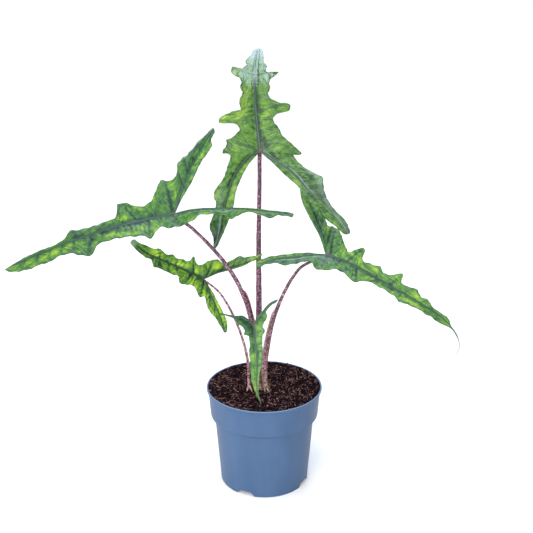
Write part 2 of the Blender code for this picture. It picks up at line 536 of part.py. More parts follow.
def soil_height(x, y):
    """Height of the soil's top: smooth lumps that die away at the rim, and a low mound round the stems."""
    lump = noise.noise(Vector((x * 0.11, y * 0.11, 3.1)))
    lump += 0.6 * noise.noise(Vector((x * 0.27, y * 0.27, 8.7)))
    lump *= 1 - min(1.0, math.hypot(x, y) / LIP_INSIDE_RADIUS) ** 8
    from_corm = math.hypot(x - CORM_CENTRE[0], y - CORM_CENTRE[1])
    return SOIL_TOP + SOIL_LUMP * lump + SOIL_MOUND * math.exp(-(from_corm / (2 * CORM_RADIUS)) ** 2)


def make_soil():
    """The soil plug: lumpy on top, shaped by the pot round its side and below, with holes for the stems."""
    top_radius = LIP_INSIDE_RADIUS - 3 * GAP
    side = [(COLLAR_TOP_RADIUS - WALL - 3 * GAP, POT_HEIGHT - LIP_HEIGHT - 1.3)] + pot_inside(GAP)
    rings = SOIL_RINGS + len(side)
    points, faces = [(0.0, 0.0, soil_height(0.0, 0.0))], []
    for ring in range(1, rings + 1):
        on_top = ring <= SOIL_RINGS
        radius = top_radius * ring / SOIL_RINGS if on_top else side[ring - SOIL_RINGS - 1][0]
        half_step = 0.5 * (min(ring, SOIL_RINGS) % 2)
        for k in range(SOIL_SEGMENTS):
            angle = 2 * math.pi * (k + half_step) / SOIL_SEGMENTS
            x, y = radius * math.cos(angle), radius * math.sin(angle)
            points.append((x, y, soil_height(x, y) if on_top else side[ring - SOIL_RINGS - 1][1]))
    points.append((0.0, 0.0, side[-1][1]))
    for k in range(SOIL_SEGMENTS):
        following = (k + 1) % SOIL_SEGMENTS
        faces.append((0, 1 + k, 1 + following))
        for ring in range(rings - 1):
            first = 1 + ring * SOIL_SEGMENTS
            second = first + SOIL_SEGMENTS
            a, b, c, d = first + k, first + following, second + k, second + following
            turned_back = ring % 2 == 0 and ring < SOIL_RINGS - 1
            faces += [(a, c, b), (b, c, d)] if turned_back else [(a, c, d), (a, d, b)]
        last = 1 + (rings - 1) * SOIL_SEGMENTS
        faces.append((len(points) - 1, last + following, last + k))
    soil = piece("soil", points, faces, "soil")
    above = SOIL_TOP + 8 * SOIL_LUMP
    hole = rod_mesh("corm_hole", CORM_RADIUS + GAP, CORM_BOTTOM - GAP, above, CORM_CENTRE, CORM_SIDES)
    cut(soil, cutter("corm_hole", hole))
    foot = STALKS["low"]["path"][0]
    hole = rod_mesh("stem_hole", STALKS["low"]["foot"] + 2 * GAP, foot[2] - GAP, above, foot[:2],
                    CORM_SIDES // 2)
    cut(soil, cutter("stem_hole", hole))
    return soil


def make_corm():
    """The swollen stem base: a squat turned stub with a flat top that the stalks stand on."""
    profile = [(0.0, CORM_BOTTOM), (CORM_RADIUS * 0.45, CORM_BOTTOM), (CORM_RADIUS * 0.85, CORM_BOTTOM + 5),
               (CORM_RADIUS, CORM_BOTTOM + 12), (CORM_RADIUS, CORM_TOP - 6), (CORM_RADIUS - 0.3, CORM_TOP),
               (0.0, CORM_TOP)]
    corm = turned("corm", profile, CORM_SIDES, "corm")
    corm.location = (CORM_CENTRE[0] * MM, CORM_CENTRE[1] * MM, 0.0)
    return corm


def stalk_path(name):
    """The stalk's route: its own points, then two that run close under the leaf's midrib."""
    middle = half_veins(LEAVES[name], "left")[0]
    other = half_veins(LEAVES[name], "right")[0]
    below = STALKS[name]["top"] + BLADE_THICKNESS / 2 + 2 * GAP
    under = []
    for reach in UNDER_MIDRIB:
        t = np.array(reach / np.linalg.norm(np.diff(middle.point, axis=0), axis=1).sum())
        face = unit(middle.read(middle.face, t) + other.read(other.face, t))
        under.append(middle.read(middle.point, t) - below * face)
    points = [np.array(p, float) for p in STALKS[name]["path"]]
    if name != "low":
        points[0][2] = CORM_TOP + GAP
    return evenly(smooth_curve(points + under, 400), STALK_RINGS)


def make_stalk(name):
    """A tapering stalk: a ring carried along the route, drawn out to one side where it has a sheath wing."""
    stalk = STALKS[name]
    path = stalk_path(name)
    run = unit(np.gradient(path, axis=0))
    run[0] = (0.0, 0.0, 1.0)
    across = np.array((1.0, 0.0, 0.0))
    points, faces = [], []
    for k in range(STALK_RINGS):
        across = unit(across - (across @ run[k]) * run[k])
        up = np.cross(run[k], across)
        s = k / (STALK_RINGS - 1)
        radius = stalk["foot"] + (stalk["top"] - stalk["foot"]) * min(1.0, s / STALK_TAPER_END)
        for j in range(STALK_SIDES):
            angle = 2 * math.pi * j / STALK_SIDES
            way = math.cos(angle) * across + math.sin(angle) * up
            stretch = 0.0
            if stalk["wing"]:
                start, end, reach, side = stalk["wing"]
                lengthwise = max(0.0, 1 - abs(2 * (s - start) / (end - start) - 1)) ** 0.6
                stretch = reach * lengthwise * max(0.0, float(way @ unit(side))) ** 3
            points.append(path[k] + way * (radius + stretch))
    for k in range(STALK_RINGS - 1):
        for j in range(STALK_SIDES):
            a, b = k * STALK_SIDES + j, k * STALK_SIDES + (j + 1) % STALK_SIDES
            c, d = a + STALK_SIDES, b + STALK_SIDES
            faces += [(a, b, d), (a, d, c)]
    faces.append(tuple(range(STALK_SIDES))[::-1])
    faces.append(tuple(range(len(points) - STALK_SIDES, len(points))))
    return piece(f"stalk_{name}", points, faces, "stalk")


def make_blade(name):
    """A leaf's blade as one closed sheet."""
    points, triangles = blade_sheet(LEAVES[name])
    both, faces = closed_sheet(points, triangles, BLADE_THICKNESS)
    return piece(f"blade_{name}", both, faces, "blade")


def main():
    for obj in list(bpy.data.objects):
        bpy.data.objects.remove(obj, do_unlink=True)
    make_pot()
    make_soil()
    make_corm()
    for name in LEAVES:
        make_stalk(name)
        make_blade(name)


main()
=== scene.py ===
# Looks of a potted arrow-leaved alocasia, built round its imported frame.
# Tables are in millimetres, and become metres where a mesh is made. The leaves' best side looks towards -Y.
import functools
import math

import bpy
import numpy as np
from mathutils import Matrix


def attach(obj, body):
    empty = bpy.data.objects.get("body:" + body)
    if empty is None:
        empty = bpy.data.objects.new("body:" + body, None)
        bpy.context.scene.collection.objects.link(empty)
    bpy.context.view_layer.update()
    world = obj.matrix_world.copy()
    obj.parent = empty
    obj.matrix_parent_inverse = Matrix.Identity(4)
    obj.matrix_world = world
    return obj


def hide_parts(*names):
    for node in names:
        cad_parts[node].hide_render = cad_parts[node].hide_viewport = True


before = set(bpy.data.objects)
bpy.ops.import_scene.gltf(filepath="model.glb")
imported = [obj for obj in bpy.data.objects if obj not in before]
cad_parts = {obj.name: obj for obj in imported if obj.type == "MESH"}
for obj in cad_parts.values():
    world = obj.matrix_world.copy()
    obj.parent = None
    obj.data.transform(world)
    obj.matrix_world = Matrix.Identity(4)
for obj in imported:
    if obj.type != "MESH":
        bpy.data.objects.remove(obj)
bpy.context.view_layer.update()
mm = 0.001
fullTurn = 2 * math.pi


# sRGB hex to linear: a straight part near black, then the power 2.4
def linear(hexColour):
    parts = [int(hexColour[i:i + 2], 16) / 255 for i in (1, 3, 5)]
    return tuple(c / 12.92 if c <= 0.04045 else ((c + 0.055) / 1.055) ** 2.4 for c in parts) + (1.0,)


# Inputs of a node, by name or number: each is a value, or a link from another node's output
def feed(node, inputs):
    for name, value in inputs.items():
        if isinstance(value, bpy.types.NodeSocket):
            node.id_data.links.new(value, node.inputs[name])
        else:
            node.inputs[name].default_value = value


# One node: its inputs by name or in their order, the stops of a ramp, and the node's own settings. It gives
# back its first output, or the one that is named.
def addNode(tree, kind, inputs=(), output=0, stops=(), **settings):
    made = tree.nodes.new("ShaderNode" + kind)
    for name, value in settings.items():
        setattr(made, name, value)
    feed(made, inputs if isinstance(inputs, dict) else dict(enumerate(inputs)))
    for number, (place, colour) in enumerate(stops):
        ramp = made.color_ramp.elements
        stop = ramp[number] if number < 2 else ramp.new(place)
        stop.position = place
        stop.color = linear(colour)
    return made.outputs[output]


# Settings that many nodes share
plus, minus, times = [{"operation": how} for how in ("ADD", "SUBTRACT", "MULTIPLY")]
timesPlus, absolute, cosine = [{"operation": how} for how in ("MULTIPLY_ADD", "ABSOLUTE", "COSINE")]
eased = {"interpolation_type": "SMOOTHSTEP"}
blend = {"data_type": "RGBA", "output": 2}


# A material with a Principled shader given its values, and addNode bound to the material's own tree
def newFinish(name, values):
    finish = bpy.data.materials.new(name)
    finish.use_nodes = True
    shader = finish.node_tree.nodes["Principled BSDF"]
    feed(shader, values)
    return finish, shader, functools.partial(addNode, finish.node_tree)


# Vectors divided by their own length
def unit(v):
    v = np.asarray(v, float)
    return v / np.maximum(np.linalg.norm(v, axis=-1, keepdims=True), 1e-12)


# Two triangles for each square of a grid of points, with the last column joined to the first if it wraps
def gridTriangles(rows, columns, wrap=False):
    r, c = np.meshgrid(np.arange(rows - 1), np.arange(columns if wrap else columns - 1), indexing="ij")
    a, b = r * columns + c, r * columns + (c + 1) % columns
    return np.stack([a, b, b + columns, a, b + columns, a + columns], axis=-1).reshape(-1, 3)


# Points that round to one place become one: which points to keep, and the triangles that keep their area
def welded(points, triangles, digits=4):
    _, kept, where = np.unique(np.round(points, digits), axis=0, return_index=True, return_inverse=True)
    triangles = where.reshape(-1)[triangles]
    a, b, c = triangles.T
    return kept, triangles[(a != b) & (b != c) & (c != a)]


# Parts of a piece in one list of points and one of triangles, whose numbers are counted on from part to part
def joined(parts):
    starts = np.cumsum([0] + [len(points) for points, _ in parts])
    return (np.vstack([points for points, _ in parts]),
            np.vstack([triangles + start for (_, triangles), start in zip(parts, starts)]))


# Normals of triangles, each twice as long as its triangle's area
def areaNormals(points, triangles):
    a, b, c = points[triangles].transpose(1, 0, 2)
    return np.cross(b - a, c - a)


# Normals at the points: those of the triangles round each point, added up
def pointNormals(points, triangles):
    normal, total = areaNormals(points, triangles), np.zeros_like(points)
    for k in range(3):
        np.add.at(total, triangles[:, k], normal)
    return unit(total)


# A closed sheet: an upper and a lower skin of the same triangles, and a wall along each edge that only one
# triangle has
def twoSkins(upper, lower, triangles):
    edges = np.concatenate([triangles[:, [0, 1]], triangles[:, [1, 2]], triangles[:, [2, 0]]])
    base = edges.max() + 1
    near, far = edges[~np.isin(edges @ (base, 1), edges @ (1, base))].T
    count = len(upper)
    walls = np.vstack([np.stack([far, near, near + count], axis=1),
                       np.stack([far, near + count, far + count], axis=1)])
    return np.vstack([upper, lower]), np.vstack([triangles, triangles[:, ::-1] + count, walls])


# A closed tube: rings of points along a path, with the first and the last ring closed by the path's own ends
def closedTube(path, rings):
    sides, count = rings.shape[1], len(path) * rings.shape[1]
    ring = np.arange(sides)
    after, last = (ring + 1) % sides, ring + count - sides
    caps = [np.stack([after, ring, 0 * ring + count], axis=1),
            np.stack([last, after + count - sides, 0 * ring + count + 1], axis=1)]
    return (np.vstack([rings.reshape(-1, 3), path[:1], path[-1:]]),
            np.vstack([gridTriangles(len(path), sides, wrap=True)] + caps))


# A new object in the scene that holds a mesh, a light or a camera
def addObject(name, data):
    made = bpy.data.objects.new(name, data)
    bpy.context.scene.collection.objects.link(made)
    return made


# Arrays straight into a mesh: points in mm, rows of three point numbers, a finish number for each triangle
def meshPiece(name, points, triangles, finishes, finishOf=None, attributes=None):
    mesh = bpy.data.meshes.new(name)
    mesh.vertices.add(len(points))
    mesh.vertices.foreach_set("co", (np.asarray(points) * mm).astype(np.float32).ravel())
    mesh.loops.add(triangles.size)
    mesh.loops.foreach_set("vertex_index", triangles.astype(np.int32).ravel())
    mesh.polygons.add(len(triangles))
    mesh.polygons.foreach_set("loop_start", np.arange(0, triangles.size, 3, dtype=np.int32))
    for finish in finishes:
        mesh.materials.append(finish)
    if finishOf is not None:
        mesh.polygons.foreach_set("material_index", np.asarray(finishOf, np.int32))
    mesh.update(calc_edges=True)
    for key, values in (attributes or {}).items():
        layer = mesh.attributes.new(key, "FLOAT", "POINT")
        layer.data.foreach_set("value", np.asarray(values, np.float32))
    mesh.validate()
    mesh.shade_smooth()
    return addObject(name, mesh)


# The piece rides on the one body and stands in for its CAD node, which is hidden
def dress(piece, node):
    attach(piece, "root")
    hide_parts(node)
    print(piece.name, len(piece.data.polygons), "faces")


# Smooth random heights from about -1 to 1 over any points: sums of sine waves with seeded directions
def softNoise(points, size, seed, waves=14):
    draw = np.random.default_rng(seed)
    ways = unit(draw.normal(size=(waves, points.shape[-1])))
    lengths = size * draw.uniform(0.6, 1.7, waves)
    phases = draw.uniform(0, fullTurn, waves)
    total = np.sin(points @ (ways / lengths[:, None]).T * fullTurn + phases).sum(axis=-1)
    return total / math.sqrt(waves / 2) * 0.6


# A curve through the points: each stretch is the cubic that its four nearest points set
def smoothCurve(points, count):
    p = np.asarray(points, float)
    ends = np.vstack([2 * p[0] - p[1], p, 2 * p[-1] - p[-2]])
    place = np.linspace(0, len(p) - 1, count)
    i = np.minimum(place.astype(int), len(p) - 2)
    f = (place - i)[:, None]
    a, b, c, d = ends[i], ends[i + 1], ends[i + 2], ends[i + 3]
    return 0.5 * (2 * b + (c - a) * f + (2 * a - 5 * b + 4 * c - d) * f**2 + (3 * b - a - 3 * c + d) * f**3)


# How far each point of a curve lies from its start, along it
def runLength(curve):
    return np.r_[0, np.cumsum(np.linalg.norm(np.diff(curve, axis=0), axis=1))]


# The columns of rows that stand at rising places, read at other places
def readRows(at, places, rows):
    return np.stack([np.interp(at, places, column) for column in np.transpose(rows)], axis=1)


# The curve read again at places equally far apart along it
def evenly(curve, count):
    run = runLength(curve)
    return readRows(np.linspace(0, run[-1], count), run, curve)


# A ring of ways, equally far apart, in the plane of each pair of vectors: across cos a + up sin a
def ringWays(across, up, sides):
    angle = (np.arange(sides) / sides * fullTurn)[:, None]
    return np.cos(angle) * across[:, None] + np.sin(angle) * up[:, None]


# Each leaf: its three main veins as points, the way that the upper face looks at the start of each half and
# at the end of each vein, and the rows of its edges. A row is (place on the vein, how far out, how far
# ahead), and places go from 1 at the tip through 0 at the join to -1 at a rear lobe's end. The Inner rows run
# along the inside of a rear lobe. Across, a blade rises by rise times the distance out, less bendBack times
# its square.
leaves = {
    "tall": {
        "midrib": [(-4, 8, 350), (-6, 16, 371), (-8, 26, 389), (-9, 44, 405), (-9, 64, 416), (-8, 92, 427),
            (-6, 116, 438)],
        "leftVein": [(-4, 8, 350), (-15, 4, 346), (-27, -5, 332), (-33, -12, 319), (-37, -19, 304),
            (-41, -27, 285), (-47, -35, 265)],
        "rightVein": [(-4, 8, 350), (5, 4, 346), (22, -4, 337), (40, -14, 320), (60, -24, 303),
            (80, -34, 280)],
        "facing": {"left": (0.15, -0.91, 0.37), "right": (-0.15, -0.91, 0.37), "midrib": (0, -0.35, 0.94),
            "leftVein": (0, -0.92, 0.35), "rightVein": (0, -0.92, 0.38)},
        "round": "sharp", "rise": 0.14, "bendBack": 0.005,
        "leftEdge": [(0.97, 2.5, 2.5), (0.88, 7.5, -0.5), (0.8, 11, -1.5), (0.76, 9, -1), (0.72, 13, -4.5),
            (0.68, 15.5, -5.5), (0.64, 23.5, 9.5), (0.62, 24.5, 3.5), (0.59, 18, -1.5), (0.55, 13.5, -3),
            (0.5, 14.5, -5.5), (0.46, 12, -6.5), (0.42, 15, -8.5), (0.38, 16, -10), (0.34, 15, -9.5),
            (0.28, 26.5, -2.5), (0.22, 36, 2.5), (0.19, 35.5, 3), (0.16, 23, 5.5), (0.13, 17.5, 4.5),
            (0.09, 25, 2.5), (0.04, 32, 7), (0.02, 31.5, 5.5), (0, 36, 3), (-0.05, 6, 24), (-0.15, 9, 16.5),
            (-0.3, 7.5, 13.5), (-0.4, 12, 13.5), (-0.52, 8.5, 11.5), (-0.62, 9.5, 12), (-0.7, 11, 11.5),
            (-0.82, 4.5, 9), (-0.93, 1.5, 5)],
        "rightEdge": [(0.97, 3, 3), (0.88, 6.5, 0.5), (0.8, 8, -0.5), (0.76, 11, -2.5), (0.7, 11, -7),
            (0.66, 16.5, -5), (0.62, 23.5, 3), (0.58, 17, -2), (0.55, 14, -5), (0.5, 15, -7),
            (0.46, 13, -8), (0.4, 15.5, -7), (0.33, 24.5, -2.5), (0.28, 33.5, 1.5), (0.25, 32, -0.5),
            (0.2, 21, 5.5), (0.16, 15.5, 6), (0.12, 20.5, 3), (0.07, 23.5, 2.5), (0.03, 32, -0.5),
            (0, 39, -4.5), (-0.06, 13, 23), (-0.15, 8, 24), (-0.27, 13, 23.5), (-0.36, 18, 19.5),
            (-0.44, 13, 16), (-0.55, 5, 17), (-0.68, 3, 14.5), (-0.8, 5, 10.5), (-0.92, 2.5, 9)],
        "leftInner": [(-0.15, 5, -0.5), (-0.28, 6.5, 0), (-0.42, 7, 4), (-0.55, 8, 5.5), (-0.7, 5.5, 5.5),
            (-0.85, 3.5, 1.5), (-0.95, 1.5, 2.5)],
        "rightInner": [(-0.15, 3.5, -1), (-0.28, 6.5, 1), (-0.42, 5, 5.5), (-0.5, 7.5, -0.5),
            (-0.6, 8, 0.5), (-0.7, 6, -2), (-0.78, 8.5, -0.5), (-0.88, 5.5, 1), (-0.96, 3, 3)],
    },
    "left": {
        "midrib": [(-84, -30, 299), (-107, -40, 296), (-143, -60, 292), (-174, -78, 285), (-201, -94, 278),
            (-225, -106, 269)],
        "leftVein": [(-84, -30, 299), (-68, -33, 303), (-45, -36, 305), (-14, -39, 305), (7, -40, 303),
            (28, -41, 301)],
        "rightVein": [(-84, -30, 299), (-81, -18, 310), (-75, 2, 328), (-69, 16, 339), (-61, 28, 351),
            (-50, 42, 367)],
        "facing": {"left": (-0.1, -0.55, 0.83), "right": (0.1, -0.68, 0.72), "midrib": (-0.2, -0.5, 0.84),
            "leftVein": (0, -0.3, 0.95), "rightVein": (0, -0.8, 0.6)},
        "round": "soft", "rise": 0.12, "bendBack": 0.004,
        "leftEdge": [(0.97, 5, 3), (0.86, 13, 9), (0.72, 15, 10), (0.62, 14.5, 8), (0.58, 18.5, 9),
            (0.53, 25, 9), (0.49, 23.5, 9), (0.46, 17.5, 9.5), (0.38, 16, 9), (0.28, 17.5, 5.5),
            (0.22, 20, 4), (0.18, 25.5, 4.5), (0.14, 21.5, 5.5), (0.1, 14, 3.5), (0.03, 17.5, 3.5),
            (0, 17.5, -3.5), (-0.05, 14.5, 14.5), (-0.12, 9.5, 12), (-0.22, 8, 13), (-0.32, 10.5, 14.5),
            (-0.38, 15, 14.5), (-0.44, 8, 13), (-0.54, 5, 14), (-0.66, 10.5, 15), (-0.76, 4.5, 13.5),
            (-0.92, 5, 7)],
        "rightEdge": [(0.97, 1, 0), (0.86, 3, -5), (0.74, 3, -3), (0.66, 6.5, -4), (0.63, 11, -4.5),
            (0.6, 12, -2.5), (0.56, 9.5, -0.5), (0.5, 8.5, 0), (0.44, 8, 0.5), (0.38, 9.5, -0.5),
            (0.34, 12.5, -4), (0.33, 19.5, -4.5), (0.29, 25.5, -3.5), (0.26, 24.5, -1.5), (0.22, 21, 0.5),
            (0.18, 17.5, 2), (0.15, 15.5, 2), (0.12, 17, -1.5), (0.09, 22.5, -1), (0.06, 32, -2.5),
            (0.04, 39.5, -4), (0, 37.5, -6), (-0.04, 10, 32), (-0.08, 8.5, 32), (-0.15, 10, 32.5),
            (-0.22, 11, 32), (-0.38, 6, 28.5), (-0.6, 5.5, 20), (-0.82, 3, 10), (-0.95, 1, 4.5)],
        "leftInner": [(-0.15, 1, -0.5), (-0.35, 1.5, -1), (-0.6, 2, 3), (-0.8, 2, 3.5), (-0.95, 1, 4)],
        "rightInner": [(-0.18, 3, -1), (-0.35, 7, -0.5), (-0.52, 7.5, 4.5), (-0.68, 8, 6), (-0.76, 8, 7),
            (-0.82, 4.5, 5), (-0.95, 2.5, 2.5)],
    },
    "right": {
        "midrib": [(59, -25, 257), (77, -34, 253), (97, -44, 245), (117, -56, 236), (138, -68, 227),
            (157, -80, 218), (171, -88, 207), (177, -92, 197), (178, -94, 189), (173, -94, 181)],
        "leftVein": [(59, -25, 257), (59, -17, 264), (54, 0, 276), (47, 14, 290), (41, 26, 303),
            (36, 36, 314)],
        "rightVein": [(59, -25, 257), (44, -28, 257), (28, -32, 256), (13, -35, 255), (-7, -39, 251)],
        "facing": {"left": (-0.05, -0.62, 0.78), "right": (0.07, -0.42, 0.9), "midrib": (0.42, -0.55, 0.72),
            "leftVein": (0.05, -0.75, 0.65), "rightVein": (0, -0.35, 0.93)},
        "round": "sharp", "rise": 0.12, "bendBack": 0.005,
        "leftEdge": [(0.95, 0.4, 0), (0.87, 0.55, 0), (0.81, 1, 0), (0.79, 3.2, 0), (0.765, 4.6, 0),
            (0.735, 4.4, 0), (0.7, 3.6, 0), (0.67, 4.2, 0), (0.65, 6.4, 0), (0.63, 8, 0), (0.605, 7.6, 0),
            (0.59, 6.8, 0), (0.575, 8.6, 0), (0.55, 11, 0), (0.525, 11, 0), (0.5, 9, -5), (0.46, 14.5, -3),
            (0.44, 18, -0.5), (0.41, 17.5, -0.5), (0.37, 10.5, 1), (0.34, 10, -1.5), (0.31, 13.5, -2),
            (0.28, 11.5, -3), (0.24, 9, -4), (0.21, 12.5, -3), (0.18, 19.5, 1), (0.15, 22.5, 2),
            (0.12, 15.5, 3), (0.08, 11.5, 4), (0.06, 19, 1), (0.03, 31.5, -4.5), (0, 34, -6.5),
            (-0.06, 3, 26.5), (-0.2, 9, 26), (-0.4, 10.5, 21.5), (-0.6, 9, 17), (-0.85, 4, 10)],
        "rightEdge": [(0.95, 0.4, 0), (0.87, 0.55, 0), (0.82, 1.6, 0), (0.795, 3.8, 0), (0.77, 6, 0),
            (0.74, 7.2, 0), (0.685, 8.4, 0), (0.635, 9, 0), (0.595, 9.4, 0), (0.555, 10, 0), (0.54, 12, 0),
            (0.51, 12, 0), (0.475, 9.4, 0), (0.41, 8, -5), (0.35, 9.5, -5), (0.3, 13.5, -4.5),
            (0.27, 18, -1.5), (0.22, 19, -1), (0.17, 14.5, -4), (0.08, 19.5, -1), (0.02, 23, 1.5),
            (0, 23, 1.5), (-0.08, 10.5, 11), (-0.25, 9, 9), (-0.42, 9.5, 13.5), (-0.58, 5.5, 12.5),
            (-0.75, 4.5, 12), (-0.92, 4, 6.5)],
        "leftInner": [(-0.2, 3, 6), (-0.4, 5, 10.5), (-0.6, 5.5, 12), (-0.85, 2.5, 6)],
        "rightInner": [(-0.2, 3, 1.5), (-0.4, 5, 3), (-0.6, 5, 5.5), (-0.8, 6, 4.5), (-0.95, 4, 2)],
    },
    "low": {
        "midrib": [(-59, -12, 227), (-71, -17, 235), (-86, -22, 244), (-101, -27, 253), (-114, -31, 261),
            (-125, -35, 274)],
        "leftVein": [(-59, -12, 227), (-56, -16, 220), (-50, -22, 207), (-45, -26, 197), (-38, -31, 178)],
        "rightVein": [(-59, -12, 227), (-53, -9, 230), (-41, -3, 233), (-23, 1, 238), (-11, 2, 242),
            (-2, 2, 248)],
        "facing": {"left": (0.35, -0.7, 0.62), "right": (0.25, -0.9, 0.35), "midrib": (0.1, -0.75, 0.65),
            "leftVein": (0.25, -0.88, 0.4), "rightVein": (0.15, -0.9, 0.4)},
        "round": "sharp", "rise": 0.12, "bendBack": 0.006,
        "leftEdge": [(0.985, 2.4, 1), (0.96, 3.2, 0), (0.885, 3.6, 0), (0.81, 3.8, 0), (0.75, 4.4, 0),
            (0.68, 5.2, 0), (0.655, 9, 0), (0.595, 9, 0), (0.56, 9, -2), (0.46, 9.5, -3.5),
            (0.38, 9.5, -4.5), (0.34, 13.5, -3), (0.29, 15, -3.5), (0.22, 12, -4), (0.14, 12, -1.5),
            (0.06, 15.5, 0), (0, 20, 0), (-0.05, 7, 14), (-0.15, 7, 14.5), (-0.28, 8, 14), (-0.45, 5, 13),
            (-0.65, 3, 11), (-0.93, 1, 3.5)],
        "rightEdge": [(0.98, 2.4, 0.5), (0.935, 3.2, 0), (0.855, 5.6, 0), (0.755, 7.2, 0), (0.69, 7.4, 0),
            (0.66, 9.4, 0), (0.63, 9.4, 0), (0.58, 7.8, 0), (0.52, 7.4, 0), (0.485, 9.8, 0),
            (0.42, 7.5, -1), (0.36, 9, -0.5), (0.28, 9, 0.5), (0.22, 12, 2.5), (0.17, 16, 5.5),
            (0.12, 12, 5), (0.05, 11.5, 5), (0, 19, 2.5), (-0.03, 9.5, 18.5), (-0.1, 6, 17),
            (-0.28, 6.5, 13), (-0.45, 8.5, 12), (-0.62, 5, 9), (-0.8, 3.5, 6), (-0.95, 1, 3.5)],
        "leftInner": [(-0.2, 2.5, -1.5), (-0.4, 4, -0.5), (-0.6, 4.5, 1.5), (-0.78, 5, 2.5), (-0.93, 2, 3)],
        "rightInner": [(-0.2, 1, 1.5), (-0.45, 2, 1), (-0.65, 2, 2.5), (-0.78, 0.5, 0.5), (-0.93, 1.5, 1)],
    },
    "front": {
        "midrib": [(-10, -32, 188), (-9, -36, 181), (-8, -41, 169), (-7, -45, 155), (-7, -47, 141),
            (-7, -47, 124), (-3, -45, 108)],
        "leftVein": [(-10, -32, 188), (-6, -33, 193), (-2, -34, 199), (2, -35, 205), (7, -35, 210),
            (14, -36, 215)],
        "rightVein": [(-10, -32, 188), (-16, -34, 192), (-22, -35, 195), (-31, -36, 197), (-37, -37, 199),
            (-43, -38, 201)],
        "facing": {"left": (-0.28, -0.85, 0.44), "right": (0.28, -0.85, 0.44),
            "midrib": (0.05, -0.98, 0.18), "leftVein": (-0.15, -0.85, 0.5),
            "rightVein": (0.15, -0.85, 0.5)},
        "round": "sharp", "rise": 0.12, "bendBack": 0.008,
        "leftEdge": [(0.97, 0, -2), (0.86, 1, -1), (0.75, 2, -2), (0.62, 3, -3), (0.5, 5, -4.5),
            (0.4, 6, -5.5), (0.3, 7, -5), (0.2, 7.5, -4.5), (0.13, 10.5, -2.5), (0.08, 9.5, -0.5),
            (0.04, 8.5, 1.5), (0, 10.5, 1), (-0.12, 5.5, 11), (-0.25, 3, 8.5), (-0.45, 2, 7), (-0.7, 1, 3),
            (-0.95, 1, -0.5)],
        "rightEdge": [(0.97, 1, -2.5), (0.85, 2, -1.5), (0.72, 4.5, -1), (0.6, 6.5, -2), (0.5, 7, -3.5),
            (0.4, 7.5, -3.5), (0.3, 6.5, -1.5), (0.2, 6.5, -1), (0.14, 7, 0), (0.09, 11, 2.5),
            (0.04, 10.5, 3.5), (0, 12, 3), (-0.12, 7.5, 11), (-0.28, 4.5, 9), (-0.5, 1, 7),
            (-0.75, 0.5, 4.5), (-0.95, 1, 1)],
        "leftInner": [(-0.2, 2.5, 1), (-0.38, 1.5, 1.5), (-0.58, 1.5, 1), (-0.8, 1.5, 0.5),
            (-0.95, 0.5, 0.5)],
        "rightInner": [(-0.18, 1.5, 0.5), (-0.38, 2.5, 1), (-0.5, 1.5, 1.5), (-0.75, 1, 2),
            (-0.95, 0.5, 1)],
    },
}
